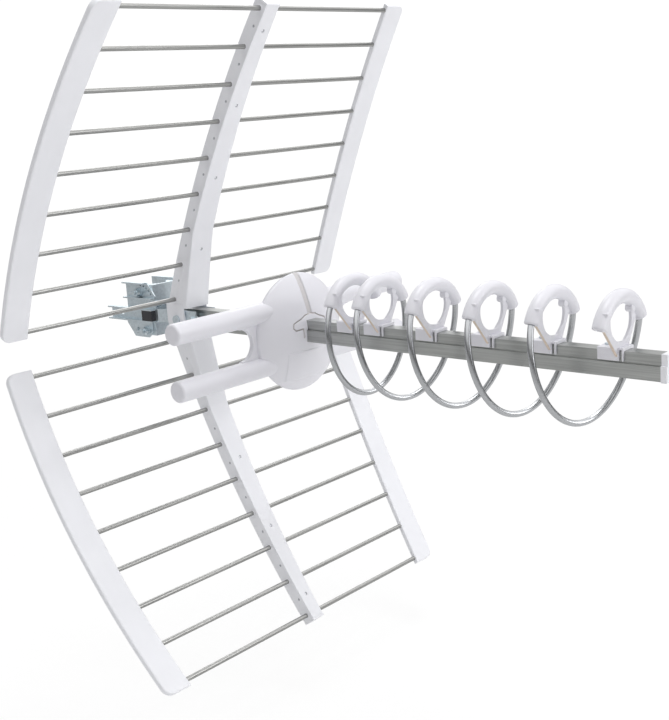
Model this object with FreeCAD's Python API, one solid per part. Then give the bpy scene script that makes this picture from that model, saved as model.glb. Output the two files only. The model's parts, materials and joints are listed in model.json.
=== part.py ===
import FreeCAD, Part

import math
import os

V = FreeCAD.Vector
X_AXIS = V(1, 0, 0)
Y_AXIS = V(0, 1, 0)
Z_AXIS = V(0, 0, 1)

# Helical UHF antenna, in millimetres. The origin is on the mast's axis, level with the boom.
# +X points forward along the boom, +Y along the reflector rods and +Z up the mast.

# Shared small gaps
FACE_GAP = 0.1
SLIP = 0.05

# Flat sides that stand for a round outline
ROUND_SIDES = 12
THIN_SIDES = 8
THIN_BELOW = 4.2
LENS_SIDES = 24
TUBE_SIDES = 16
HELIX_SIDES = 6
ARCH_SIDES = 10
FLAT_ENOUGH = 1e-6

# Mast and its jaw
MAST_R = 12.5
JAW_SHEET = 1.8
JAW_HALF_Y = 21.0
JAW_WEB_X = 15.0
JAW_REAR_X = -22.0
JAW_LOW_Z = -24.0
JAW_HIGH_Z = 42.0
JAW_SHELF_REAR_X = 2.0
JAW_TOOTH_R = 1.2
JAW_TEETH = 9

# U-bolts round the mast
UBOLT_R = 2.5
UBOLT_Z = (16.5, -1.0)
UBOLT_TAIL = 9.0
UBOLT_POINTS = 10
UBOLT_NUT_FLATS = 8.0
UBOLT_NUT_T = 4.0
UBOLT_WASHER_R = 5.0
UBOLT_WASHER_T = 1.0

# Studs that carry the tilt: the pivot above and the lock below
STUD_R = 3.0
STUD_HEAD_R = 4.5
STUD_HEAD_T = 2.6
STUD_LENGTH = 14.0
PIVOT_X = -8.0
PIVOT_Z = 32.0
LOCK_X = 1.0
LOCK_Z = -17.5
TILT_RANGE = 20.0
WASHER_R = 6.0
WASHER_T = 1.2
NUT_FLATS = 10.0
NUT_T = 5.0
WING_HUB_R = 5.2
WING_HUB_T = 6.0
WING_SPAN = 22.0
WING_T = 2.2
WING_RISE = 9.0

# Tilt arms, one each side of the mast and of the boom
ARM_SHEET = 1.8
ARM_Z = 3.0
ARM_HEIGHT = 17.0
ARM_REAR_X = -68.0
ARM_FRONT_X = 90.0
ARM_JOG_REAR_X = 24.0
ARM_JOG_FRONT_X = 34.0
ARM_FLANGE = 7.0
ARM_FLANGE_FRONT_X = 20.0
UPPER_LOBE_REAR_X = -34.0
UPPER_LOBE_FRONT_X = 22.0
UPPER_LOBE_TOP_Z = 45.0
UPPER_LOBE_FLANGE_Z = 24.0
LOWER_LOBE_REAR_X = -38.0
LOWER_LOBE_FRONT_X = 12.0
LOWER_LOBE_BOTTOM_Z = -27.0
INDEX_ARC_X = -5.0
INDEX_ARC_Z = 18.0
INDEX_ARC_R = 23.0
INDEX_ANGLES = (88.0, 74.0, 60.0, 46.0, 32.0)
INDEX_HOLE_R = 1.4
ARM_HOLE_R = 2.6
ARM_HOLES_X = (-58.0, -46.0)
PLUG_X = 1.0
PLUG_LENGTH = 20.0

# Boom
BOOM_REAR_X = 44.0
BOOM_FRONT_X = 709.0
BOOM_HALF_Y = 10.0
BOOM_RAIL_HALF_Y = 8.0
BOOM_HALF_Z = 12.5
BOOM_STEP_Z = 1.5
BOOM_STEP_RISE = 1.5
BOOM_GROOVE_DEPTH = 0.8
BOOM_WALL = 1.6
BOOM_CAP_T = 6.0
BOOM_CAP_LIP = 0.8
BOOM_PLUG_DEPTH = 10.0

# Bolts that hold the reflector and the arms on the boom
CROSS_BOLT_Z = 0.0
EAR_BOLT_X = 58.0
ARM_BOLT_X = 82.0
BOLT_R = 3.0
BOLT_HEAD_R = 5.5
BOLT_HEAD_T = 3.2
BUSH_R = 6.0

# Reflector: rods on an arc seen from the side, mirrored above and below the boom
ROD_R = 2.0
ROD_COUNT = 9
ROOT_ROD_X = 57.0
ROOT_ROD_Z = 26.0
ROOT_LEAN = 20.0
PANEL_RADIUS = 1350.0
ROD_PITCH = 47.7
ROD_SEAT = 8.0

# Spines: tapered channels along the arc, open to the rear
SPINE_ROOT_HALF_Y = 19.8
SPINE_TIP_HALF_Y = 10.5
SPINE_WALL = 1.3
SPINE_FRONT = 8.0
SPINE_REAR = 10.5
SPINE_ROOT_Z = 14.5
SPINE_TIP_REACH = 6.5
EAR_R = 14.0
EAR_REAR = 4.5
SPINE_HOLE_R = 1.5
SPINE_CAP_T = 3.0
SPINE_DEEP_X = 78.0
SPINE_DEEP_END = 95.0
RIB_GAP = 4.0
RIB_W = 2.4
RIB_T = 0.9

# Side bars: curved flat strips that carry the rod ends
BAR_INNER_ROOT = 239.5
BAR_INNER_MID = 231.5
BAR_INNER_TIP = 208.0
BAR_WIDTH = 34.0
BAR_T = 8.0
BAR_REACH = 8.0
BAR_CORNER_R = 11.0
BAR_FLATS = 8
CORNER_POINTS = 4

# Dipole box
DIPOLE_Z = -3.5
DIPOLE_RIM_X = 249.0
DIPOLE_RIM_R = 69.0
DOME_SHAPE = ((0.0, 1.0), (3.0, 0.986), (7.0, 0.891), (12.0, 0.725), (17.0, 0.522), (21.0, 0.319),
              (23.5, 0.13))
PAN_SHAPE = ((0.0, 1.0), (-4.0, 0.978), (-12.0, 0.87), (-20.0, 0.667), (-22.0, 0.58))
DIPOLE_WALL = 2.4
TUBE_SPACING = 62.0
TUBE_R = 13.0
TUBE_WALL = 2.0
TUBE_HALF_Y = 191.0
TUBE_END_ROUND = 1.5
WEB_T = 9.0
WEB_CUT_Y = 92.0
WEB_END_Y = 124.0
GROOVE_W = 7.0
GROOVE_DEPTH = 1.0
PAD_HALF_Y = 35.0
PAD_HIGH_Z = -23.0
PAD_LOW_Z = -57.0
PAD_RISE = 0.8
CLIP_LINE_BASE = (14.0, -6.0)
CLIP_LINE_LUG = ((27.0, 3.5), (26.0, 12.5))
CLIP_LINE_BRIDGE = ((19.0, 15.5), (9.0, 18.0), (0.0, 19.5))
CLIP_LINE_W = 0.9
CLIP_LINE_DEPTH = 1.3
DRAIN_Y = -32.0
DRAIN_LENGTH = 24.0
DRAIN_W = 2.6
ELEMENT_W = 21.4
ELEMENT_T = 1.6
ELEMENT_HALF_Y = 184.0
ELEMENT_INNER_Y = 22.0
BOARD_T = 1.6
BOARD_W = 60.0
BOARD_H = 26.0
SOCKET_R = 4.7
SOCKET_LENGTH = 16.0
SOCKET_FLANGE_R = 5.8
SOCKET_FLANGE_T = 2.0
SOCKET_WALL = 1.2
SOCKET_PIN_R = 0.6
SOCKET_Z = -31.5

# Hooks and helix
HOOK_PITCH = 71.7
FIRST_PITCH = 39.1
HOOK_2_X = 378.0
HOOK_COUNT = 6
HELIX_R = 2.5
ARCH_TOP_Z = 63.0
LOOP_Y = -2.7
LOOP_HALF_Y = 48.3
LOOP_HALF_Z = 63.5
LOOP_Z = -0.5
LOOP_OVERRUN = 37.0
LOOP_POINTS = 14
LOOP_DRIFT = 1.25
LOOK_AHEAD = 0.01
BORE_RUN_OUT = 2.0
ARCH_POINTS = 6
ARCH_R = 7.3
HOOK_WEB_T = 3.2
WEB_NEAR_IN = 4.75
WEB_FAR_IN = 9.85
WEB_FAR_STEP = 5.85
WEB_TOP_DROP = 4.0
FOOT_TAPER = 1.8
HOOK_HOLE_TOP = (LOOP_Y, 40.5, 20.0)
HOOK_HOLE_BOTTOM = (1.0, 27.0, 7.0)
LUG_Y = 17.5
LUG_Z = 49.0
LUG_R = 4.0
LUG_RISE = 2.2
CLIP_W = 9.0
CLIP_H = 13.0
CLIP_IN = 3.0
NIB_Z = 51.0
NIB_H = 2.4
NIB_W = 4.0
NIB_RISE = 0.6
FOOT_REAR = 20.0
FOOT_FRONT = 7.0
FOOT_WALL = 2.6
FOOT_TOP = 3.2
FOOT_RIB = 0.8
HOOK_SCREW_R = 1.5
HOOK_SCREW_HEAD_R = 3.2
HOOK_SCREW_HEAD_T = 1.8
HOOK_SCREW_BACK = 14.0

# Places that follow from the sizes above
ARM_IN_Y = JAW_HALF_Y + FACE_GAP
ARM_OUT_Y = ARM_IN_Y + ARM_SHEET
EAR_OUT_Y = SPINE_ROOT_HALF_Y
LOWER_SPINE_INSET = SPINE_WALL + FACE_GAP
LOWER_EAR_OUT_Y = EAR_OUT_Y - LOWER_SPINE_INSET
LOWER_EAR_IN_Y = LOWER_EAR_OUT_Y - SPINE_WALL
ARM_EAR_OUT_Y = LOWER_EAR_IN_Y - FACE_GAP
ARM_EAR_IN_Y = ARM_EAR_OUT_Y - ARM_SHEET
LOCK_RADIUS = math.hypot(LOCK_X - PIVOT_X, LOCK_Z - PIVOT_Z)
DOME_RINGS = [(depth, DIPOLE_RIM_R * share) for depth, share in DOME_SHAPE]
PAN_RINGS = [(depth, DIPOLE_RIM_R * share) for depth, share in PAN_SHAPE]
TUBE_HIGH_Z = DIPOLE_Z + TUBE_SPACING / 2
TUBE_LOW_Z = DIPOLE_Z - TUBE_SPACING / 2


def save(name, shape):
    """Write one node's solid or group of solids."""
    shape.exportStep("parts/" + name + ".step")


def box(x0, x1, y0, y1, z0, z1):
    return Part.makeBox(x1 - x0, y1 - y0, z1 - z0, V(x0, y0, z0))


def round_sides(radius):
    """Flat sides that stand for a round, fewer on a thin piece."""
    return THIN_SIDES if radius < THIN_BELOW else ROUND_SIDES


def ring_points(axis, centre, radius, sides):
    """Corners of a regular outline round an axis."""
    across = X_AXIS if abs(axis.x) < 0.9 else Y_AXIS
    up = axis.cross(across)
    points = []
    for k in range(sides):
        turn = 2 * math.pi * (k + 0.5) / sides
        points.append(centre + across * (radius * math.cos(turn)) + up * (radius * math.sin(turn)))
    return points


def rod_along(axis, radius, start, length):
    """Round bar of flat sides whose corners lie on the radius."""
    return plate(ring_points(axis, start, radius, round_sides(radius)), axis * length)


def hole_along(axis, radius, start, length):
    """Cutter whose flat sides just clear a round of the radius."""
    sides = round_sides(radius)
    return plate(ring_points(axis, start, radius / math.cos(math.pi / sides), sides), axis * length)


def skin(rings):
    """Solid through a row of outlines with equal corner counts, closed by the first and the last."""
    faces = [Part.Face(Part.makePolygon(rings[0] + [rings[0][0]])),
             Part.Face(Part.makePolygon(rings[-1] + [rings[-1][0]]))]
    for low, high in zip(rings, rings[1:]):
        for k in range(len(low)):
            a, b = low[k - 1], low[k]
            c, d = high[k], high[k - 1]
            normal = (b - a).cross(d - a).normalize()
            if abs(normal.dot(c - a)) < FLAT_ENOUGH:
                faces.append(Part.Face(Part.makePolygon([a, b, c, d, a])))
            else:
                faces.append(Part.Face(Part.makePolygon([a, b, c, a])))
                faces.append(Part.Face(Part.makePolygon([a, c, d, a])))
    shell = Part.makeShell(faces)
    solid = Part.makeSolid(shell)
    return solid if solid.Volume > 0 else solid.reversed()


def stacked(axis, origin, rings, sides):
    """Solid through regular outlines, each given as a distance along the axis and a radius."""
    return skin([ring_points(axis, origin + axis * distance, radius, sides) for distance, radius in rings])


def bar_along(stations, radius, sides):
    """Bar of flat sides through stations, each a place and a direction that is never along X."""
    rings = []
    for place, direction in stations:
        up = direction.cross(X_AXIS).normalize()
        across = up.cross(direction).normalize()
        ring = []
        for k in range(sides):
            turn = 2 * math.pi * (k + 0.5) / sides
            ring.append(place + across * (radius * math.cos(turn)) + up * (radius * math.sin(turn)))
        rings.append(ring)
    return skin(rings)


def plate(points, direction):
    """Solid from a closed outline of straight sides, pushed along a direction."""
    wire = Part.makePolygon(points + [points[0]])
    return Part.Face(wire).extrude(direction)


def mirror_y(shape):
    return shape.mirror(V(0, 0, 0), Y_AXIS)


def mirror_z(shape):
    return shape.mirror(V(0, 0, 0), Z_AXIS)


def hex_prism(flats, start, direction):
    """Hexagon across the flats, standing on start and reaching along a direction in Y."""
    corner = flats / math.sqrt(3)
    points = []
    for k in range(6):
        angle = math.radians(60 * k)
        points.append(start + V(corner * math.cos(angle), 0, corner * math.sin(angle)))
    return plate(points, direction)


def stud_at(x, z, side):
    """Carriage stud through the jaw's side wall, head inside, thread outward."""
    inner = JAW_HALF_Y - JAW_SHEET
    head = rod_along(V(0, side, 0), STUD_HEAD_R, V(x, side * (inner - STUD_HEAD_T), z), STUD_HEAD_T)
    shank = rod_along(V(0, side, 0), STUD_R, V(x, side * inner, z), STUD_LENGTH)
    return head.fuse(shank)


def make_mast_jaw():
    """Folded steel jaw: front web, two side walls and two toothed shelves that bear on the mast."""
    height = JAW_HIGH_Z - JAW_LOW_Z
    inner_y = JAW_HALF_Y - JAW_SHEET
    front_x = JAW_WEB_X + JAW_SHEET
    jaw = box(JAW_REAR_X, front_x, -JAW_HALF_Y, JAW_HALF_Y, JAW_LOW_Z, JAW_HIGH_Z)
    inside = box(JAW_REAR_X - 1, JAW_WEB_X, -inner_y, inner_y,
                 JAW_LOW_Z + JAW_SHEET, JAW_HIGH_Z - JAW_SHEET)
    behind_shelf = box(JAW_REAR_X - 1, JAW_SHELF_REAR_X, -inner_y, inner_y,
                       JAW_LOW_Z - 1, JAW_HIGH_Z + 1)
    jaw = jaw.cut(inside).cut(behind_shelf)
    jaw = jaw.cut(Part.makeCylinder(MAST_R, height + 2, V(0, 0, JAW_LOW_Z - 1)))
    for k in range(JAW_TEETH):
        angle = math.radians(-72 + 144 * k / (JAW_TEETH - 1))
        notch = V(MAST_R * math.cos(angle), MAST_R * math.sin(angle), JAW_LOW_Z - 1)
        jaw = jaw.cut(hole_along(Z_AXIS, JAW_TOOTH_R, notch, height + 2))
    leg_y = MAST_R + SLIP + UBOLT_R
    for z in UBOLT_Z:
        for y in (-leg_y, leg_y):
            jaw = jaw.cut(hole_along(X_AXIS, UBOLT_R + SLIP, V(JAW_WEB_X - 1, y, z), JAW_SHEET + 2))
    for x, z in ((PIVOT_X, PIVOT_Z), (LOCK_X, LOCK_Z)):
        jaw = jaw.cut(hole_along(Y_AXIS, STUD_R + SLIP, V(x, -JAW_HALF_Y - 1, z), 2 * JAW_HALF_Y + 2))
    return jaw


def make_u_bolts():
    """Two round U-bolts, bent round the back of the mast, legs forward through the web."""
    bend = MAST_R + SLIP + UBOLT_R
    front_x = JAW_WEB_X + JAW_SHEET + UBOLT_TAIL
    bolts = []
    for z in UBOLT_Z:
        rings = [upright_ring(V(front_x, -bend, z), V(0, 1, 0))]
        for k in range(UBOLT_POINTS + 1):
            turn = math.pi * (1.5 - k / UBOLT_POINTS)
            outward = V(math.cos(turn), math.sin(turn), 0)
            rings.append(upright_ring(V(0, 0, z) + outward * bend, outward * -1))
        rings.append(upright_ring(V(front_x, bend, z), V(0, -1, 0)))
        bolts.append(skin(rings))
    return Part.makeCompound(bolts)


def upright_ring(place, inward):
    """Outline of a U-bolt's section, between one level direction and the upright."""
    ring = []
    for k in range(THIN_SIDES):
        turn = 2 * math.pi * (k + 0.5) / THIN_SIDES
        ring.append(place + inward * (UBOLT_R * math.cos(turn)) + Z_AXIS * (UBOLT_R * math.sin(turn)))
    return ring


def ubolt_hardware(make_piece):
    """One piece on each of the four U-bolt legs, in front of the jaw's web."""
    bend = MAST_R + SLIP + UBOLT_R
    pieces = []
    for z in UBOLT_Z:
        for y in (-bend, bend):
            pieces.append(make_piece(y, z))
    return Part.makeCompound(pieces)


def ubolt_washer(y, z):
    start = V(JAW_WEB_X + JAW_SHEET, y, z)
    ring = rod_along(X_AXIS, UBOLT_WASHER_R, start, UBOLT_WASHER_T)
    return ring.cut(hole_along(X_AXIS, UBOLT_R + SLIP, start, UBOLT_WASHER_T))


def ubolt_nut(y, z):
    start = V(JAW_WEB_X + JAW_SHEET + UBOLT_WASHER_T, y, z)
    corner = UBOLT_NUT_FLATS / math.sqrt(3)
    points = []
    for k in range(6):
        angle = math.radians(60 * k)
        points.append(start + V(0, corner * math.cos(angle), corner * math.sin(angle)))
    nut = plate(points, V(UBOLT_NUT_T, 0, 0))
    return nut.cut(hole_along(X_AXIS, UBOLT_R + SLIP, start, UBOLT_NUT_T))


def make_studs():
    studs = []
    for side in (-1, 1):
        studs.append(stud_at(PIVOT_X, PIVOT_Z, side))
        studs.append(stud_at(LOCK_X, LOCK_Z, side))
    return Part.makeCompound(studs)


def make_stud_washers():
    """Flat washers on the four studs, outside the tilt arms."""
    rings = []
    start_y = ARM_OUT_Y + SLIP
    for side in (-1, 1):
        for x, z in ((PIVOT_X, PIVOT_Z), (LOCK_X, LOCK_Z)):
            start = V(x, side * start_y, z)
            ring = rod_along(V(0, side, 0), WASHER_R, start, WASHER_T)
            rings.append(ring.cut(hole_along(V(0, side, 0), STUD_R + SLIP, start, WASHER_T)))
    return Part.makeCompound(rings)


def make_wing_nut(x, z):
    """Wing nut on a near stud: a round hub with two rising wings."""
    start_y = -(ARM_OUT_Y + SLIP + WASHER_T + SLIP)
    hub = rod_along(V(0, -1, 0), WING_HUB_R, V(x, start_y, z), WING_HUB_T)
    half = WING_SPAN / 2
    for side in (-1, 1):
        outline = [V(x + side * 2, start_y - 1, z - WING_T / 2),
                   V(x + side * half * 0.75, start_y - 2.5, z - WING_T / 2),
                   V(x + side * half, start_y - WING_RISE * 0.8, z - WING_T / 2),
                   V(x + side * half * 0.85, start_y - WING_RISE, z - WING_T / 2),
                   V(x + side * 2, start_y - WING_HUB_T, z - WING_T / 2)]
        hub = hub.fuse(plate(outline, V(0, 0, WING_T)))
    return hub.cut(hole_along(V(0, -1, 0), STUD_R + SLIP, V(x, start_y + 1, z), WING_RISE + 3))


def make_far_nuts():
    """Plain hexagon nuts on the two far studs."""
    start_y = ARM_OUT_Y + SLIP + WASHER_T
    nuts = []
    for x, z in ((PIVOT_X, PIVOT_Z), (LOCK_X, LOCK_Z)):
        nut = hex_prism(NUT_FLATS, V(x, start_y, z), V(0, NUT_T, 0))
        nuts.append(nut.cut(hole_along(Y_AXIS, STUD_R + SLIP, V(x, start_y, z), NUT_T)))
    return Part.makeCompound(nuts)


def arc_slot(radius):
    """Curved slot for the lock stud, swung about the pivot."""
    centre = V(PIVOT_X, 0, PIVOT_Z)
    first = math.atan2(LOCK_Z - PIVOT_Z, LOCK_X - PIVOT_X)
    length = 2 * ARM_OUT_Y
    ends = []
    for step in (0, TILT_RANGE):
        angle = first - math.radians(step)
        ends.append(centre + V(LOCK_RADIUS * math.cos(angle), -length / 2, LOCK_RADIUS * math.sin(angle)))
    slot = hole_along(Y_AXIS, radius, ends[0], length)
    slot = slot.fuse(hole_along(Y_AXIS, radius, ends[1], length))
    outer = Part.makeCylinder(LOCK_RADIUS + radius, length, V(PIVOT_X, -length / 2, PIVOT_Z), Y_AXIS)
    inner = Part.makeCylinder(LOCK_RADIUS - radius, length, V(PIVOT_X, -length / 2, PIVOT_Z), Y_AXIS)
    far = centre + V(0, -length / 2, 0)
    reach = 2 * LOCK_RADIUS
    wedge = plate([far,
                   far + (ends[0] - far) * (reach / LOCK_RADIUS),
                   far + (ends[1] - far) * (reach / LOCK_RADIUS)], V(0, length, 0))
    return slot.fuse(outer.cut(inner).common(wedge))


def make_tilt_arm():
    """Far tilt arm: pressed plate with two lobes, jogged inward to pass inside the reflector's ears."""
    low_z = ARM_Z - ARM_HEIGHT / 2
    high_z = ARM_Z + ARM_HEIGHT / 2
    plan = [V(ARM_REAR_X, ARM_IN_Y, low_z), V(ARM_JOG_REAR_X, ARM_IN_Y, low_z),
            V(ARM_JOG_FRONT_X, ARM_EAR_IN_Y, low_z), V(ARM_FRONT_X, ARM_EAR_IN_Y, low_z),
            V(ARM_FRONT_X, ARM_EAR_OUT_Y, low_z), V(ARM_JOG_FRONT_X + 1, ARM_EAR_OUT_Y, low_z),
            V(ARM_JOG_REAR_X + 1, ARM_OUT_Y, low_z), V(ARM_REAR_X, ARM_OUT_Y, low_z)]
    arm = plate(plan, V(0, 0, ARM_HEIGHT))
    lobe = plate([V(UPPER_LOBE_REAR_X, ARM_IN_Y, high_z - 1),
                  V(UPPER_LOBE_FRONT_X, ARM_IN_Y, high_z - 1),
                  V(UPPER_LOBE_FRONT_X, ARM_IN_Y, UPPER_LOBE_FLANGE_Z + 4),
                  V(UPPER_LOBE_FRONT_X - 14, ARM_IN_Y, UPPER_LOBE_TOP_Z),
                  V(UPPER_LOBE_REAR_X, ARM_IN_Y, UPPER_LOBE_TOP_Z)], V(0, ARM_SHEET, 0))
    lower = plate([V(LOWER_LOBE_REAR_X, ARM_IN_Y, low_z + 1),
                   V(LOWER_LOBE_FRONT_X, ARM_IN_Y, low_z + 1),
                   V(LOWER_LOBE_FRONT_X, ARM_IN_Y, LOWER_LOBE_BOTTOM_Z + 8),
                   V(LOWER_LOBE_FRONT_X - 8, ARM_IN_Y, LOWER_LOBE_BOTTOM_Z),
                   V(LOWER_LOBE_REAR_X + 14, ARM_IN_Y, LOWER_LOBE_BOTTOM_Z),
                   V(LOWER_LOBE_REAR_X, ARM_IN_Y, low_z - 4)], V(0, ARM_SHEET, 0))
    arm = arm.fuse(lobe).fuse(lower)
    flange_out = ARM_OUT_Y + ARM_FLANGE
    for z in (low_z, high_z - ARM_SHEET):
        arm = arm.fuse(box(ARM_REAR_X, ARM_FLANGE_FRONT_X, ARM_IN_Y, flange_out, z, z + ARM_SHEET))
    for z in (UPPER_LOBE_FLANGE_Z, UPPER_LOBE_TOP_Z - ARM_SHEET):
        front = UPPER_LOBE_FRONT_X if z == UPPER_LOBE_FLANGE_Z else UPPER_LOBE_FRONT_X - 14
        arm = arm.fuse(box(UPPER_LOBE_REAR_X, front, ARM_IN_Y, flange_out, z, z + ARM_SHEET))
    holes = [(PIVOT_X, PIVOT_Z, STUD_R + SLIP), (EAR_BOLT_X, CROSS_BOLT_Z, BOLT_R + SLIP),
             (ARM_BOLT_X, CROSS_BOLT_Z, BOLT_R + SLIP)]
    holes += [(x, ARM_Z, ARM_HOLE_R) for x in ARM_HOLES_X]
    for angle in INDEX_ANGLES:
        turn = math.radians(angle)
        holes.append((INDEX_ARC_X + INDEX_ARC_R * math.cos(turn),
                      INDEX_ARC_Z + INDEX_ARC_R * math.sin(turn), INDEX_HOLE_R))
    for x, z, radius in holes:
        arm = arm.cut(hole_along(Y_AXIS, radius, V(x, 0, z), 2 * ARM_OUT_Y))
    return arm.cut(arc_slot(STUD_R + FACE_GAP)).removeSplitter()


def make_arm_plug():
    """Black block pressed between the near arm's flanges."""
    low_z = ARM_Z - ARM_HEIGHT / 2 + ARM_SHEET
    high_z = ARM_Z + ARM_HEIGHT / 2 - ARM_SHEET
    front_x = min(PLUG_X + PLUG_LENGTH, ARM_FLANGE_FRONT_X)
    return box(PLUG_X, front_x, -ARM_OUT_Y - ARM_FLANGE, -ARM_OUT_Y, low_z, high_z)


def boom_outline(x, inset):
    """Closed section of the boom: a box with a narrower stepped rail on top."""
    side = BOOM_HALF_Y - inset
    rail = BOOM_RAIL_HALF_Y - inset
    low = -BOOM_HALF_Z + inset
    step = BOOM_STEP_Z - inset
    top = BOOM_HALF_Z - inset
    if inset > 0:
        half = [(side, low), (side, step), (rail - BOOM_GROOVE_DEPTH, step), (rail - BOOM_GROOVE_DEPTH, top)]
    elif inset < 0:
        half = [(side, low), (side, step), (rail, step), (rail, top)]
    else:
        half = [(side, low), (side, step), (rail - BOOM_GROOVE_DEPTH, step),
                (rail - BOOM_GROOVE_DEPTH, step + BOOM_STEP_RISE), (rail, step + BOOM_STEP_RISE), (rail, top)]
    points = [V(x, y, z) for y, z in half]
    points += [V(x, -y, z) for y, z in reversed(half)]
    return points


def make_boom():
    """Hollow extrusion, drilled for the two cross bolts and the hook screws."""
    length = BOOM_FRONT_X - BOOM_REAR_X
    boom = plate(boom_outline(BOOM_REAR_X, 0), V(length, 0, 0))
    boom = boom.cut(plate(boom_outline(BOOM_REAR_X, BOOM_WALL), V(length, 0, 0)))
    for x in (EAR_BOLT_X, ARM_BOLT_X):
        place = V(x, -BOOM_HALF_Y - 1, CROSS_BOLT_Z)
        boom = boom.cut(hole_along(Y_AXIS, BOLT_R + SLIP, place, 2 * BOOM_HALF_Y + 2))
    for x in hook_places():
        start = V(x - HOOK_SCREW_BACK, 0, BOOM_HALF_Z - BOOM_WALL - 1)
        boom = boom.cut(hole_along(Z_AXIS, HOOK_SCREW_R + SLIP, start, BOOM_WALL + 2))
    return boom


def make_boom_cap(face_x, direction):
    """Moulded end cap: a plate over the section and a plug inside it."""
    lip = boom_outline(face_x, -BOOM_CAP_LIP)
    cap = plate(lip, V(direction * BOOM_CAP_T, 0, 0))
    plug = plate(boom_outline(face_x, BOOM_WALL + FACE_GAP), V(-direction * BOOM_PLUG_DEPTH, 0, 0))
    return cap.fuse(plug)


def make_cross_bolts():
    """Hexagon bolts across the boom, heads on the near side."""
    bolts = []
    for x, face in ((EAR_BOLT_X, EAR_OUT_Y), (ARM_BOLT_X, ARM_EAR_OUT_Y)):
        head = rod_along(V(0, -1, 0), BOLT_HEAD_R, V(x, -face, CROSS_BOLT_Z), BOLT_HEAD_T)
        shank = rod_along(Y_AXIS, BOLT_R, V(x, -face, CROSS_BOLT_Z), 2 * face + NUT_T + 2)
        bolts.append(head.fuse(shank))
    return Part.makeCompound(bolts)


def make_cross_nuts():
    nuts = []
    for x, face in ((EAR_BOLT_X, EAR_OUT_Y), (ARM_BOLT_X, ARM_EAR_OUT_Y)):
        nut = hex_prism(NUT_FLATS, V(x, face, CROSS_BOLT_Z), V(0, NUT_T, 0))
        nuts.append(nut.cut(hole_along(Y_AXIS, BOLT_R + SLIP, V(x, face, CROSS_BOLT_Z), NUT_T)))
    return Part.makeCompound(nuts)


def make_bushes():
    """Spacer bushes between the boom and the tilt arms, two on each cross bolt."""
    rings = []
    for x in (EAR_BOLT_X, ARM_BOLT_X):
        for side in (-1, 1):
            start = V(x, side * BOOM_HALF_Y, CROSS_BOLT_Z)
            length = ARM_EAR_IN_Y - BOOM_HALF_Y
            ring = rod_along(V(0, side, 0), BUSH_R, start, length)
            rings.append(ring.cut(hole_along(V(0, side, 0), BOLT_R + SLIP, start, length)))
    return Part.makeCompound(rings)


def panel_point(distance, offset):
    """Place in the side view, a distance along the rods' arc and an offset in front of it."""
    lean = math.radians(ROOT_LEAN)
    centre_x = ROOT_ROD_X + PANEL_RADIUS * math.cos(lean)
    centre_z = ROOT_ROD_Z - PANEL_RADIUS * math.sin(lean)
    turn = lean + distance / PANEL_RADIUS
    radius = PANEL_RADIUS - offset
    return centre_x - radius * math.cos(turn), centre_z + radius * math.sin(turn)


def panel_band(start, end, front, rear, half_y):
    """Band between two arcs of the side view, as wide as 2 half_y, in flats about a rod's pitch long."""
    steps = max(1, round((end - start) / ROD_PITCH))
    distances = [start + (end - start) * k / steps for k in range(steps + 1)]
    places = [panel_point(distance, front) for distance in distances]
    places += [panel_point(distance, rear) for distance in reversed(distances)]
    return plate([V(x, -half_y, z) for x, z in places], V(0, 2 * half_y, 0))


def rod_places():
    return [panel_point(k * ROD_PITCH, 0) for k in range(ROD_COUNT)]


def panel_length():
    return (ROD_COUNT - 1) * ROD_PITCH


def spine_taper(inset, low_z):
    """Wedge that narrows upward and bounds the spine's sides."""
    tip_z = panel_point(panel_length() + SPINE_TIP_REACH, 0)[1]
    high_z = tip_z + 2 * SPINE_FRONT
    slope = (SPINE_ROOT_HALF_Y - SPINE_TIP_HALF_Y) / tip_z
    low_y = SPINE_ROOT_HALF_Y - slope * low_z - inset
    high_y = SPINE_ROOT_HALF_Y - slope * high_z - inset
    depth = 2 * panel_length()
    points = [V(0, -low_y, low_z), V(0, low_y, low_z), V(0, high_y, high_z), V(0, -high_y, high_z)]
    return plate(points, V(depth, 0, 0))


def spine_side(start, end, wall):
    """The spine's side view, wall deep inside its front: the curved band and its deeper root."""
    band = panel_band(start, end, SPINE_FRONT - wall, -SPINE_REAR - 4 * wall, 2 * SPINE_ROOT_HALF_Y)
    high_x, high_z = panel_point(SPINE_DEEP_END, SPINE_FRONT - wall)
    rear_x, rear_z = panel_point(SPINE_DEEP_END, 0)
    low_x, low_z = panel_point(start, 0)
    points = [(low_x, low_z), (SPINE_DEEP_X - wall, low_z), (SPINE_DEEP_X - wall, SPINE_ROOT_Z),
              (high_x, high_z), (rear_x, rear_z)]
    deep = plate([V(x, -2 * SPINE_ROOT_HALF_Y, z) for x, z in points], V(0, 4 * SPINE_ROOT_HALF_Y, 0))
    return band.fuse(deep)


def spine_half_y(z, inset):
    """Half the spine's width at a height."""
    tip_z = panel_point(panel_length() + SPINE_TIP_REACH, 0)[1]
    return SPINE_ROOT_HALF_Y - (SPINE_ROOT_HALF_Y - SPINE_TIP_HALF_Y) * z / tip_z - inset


def both_sides(shape):
    return shape.fuse(mirror_y(shape))


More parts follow.
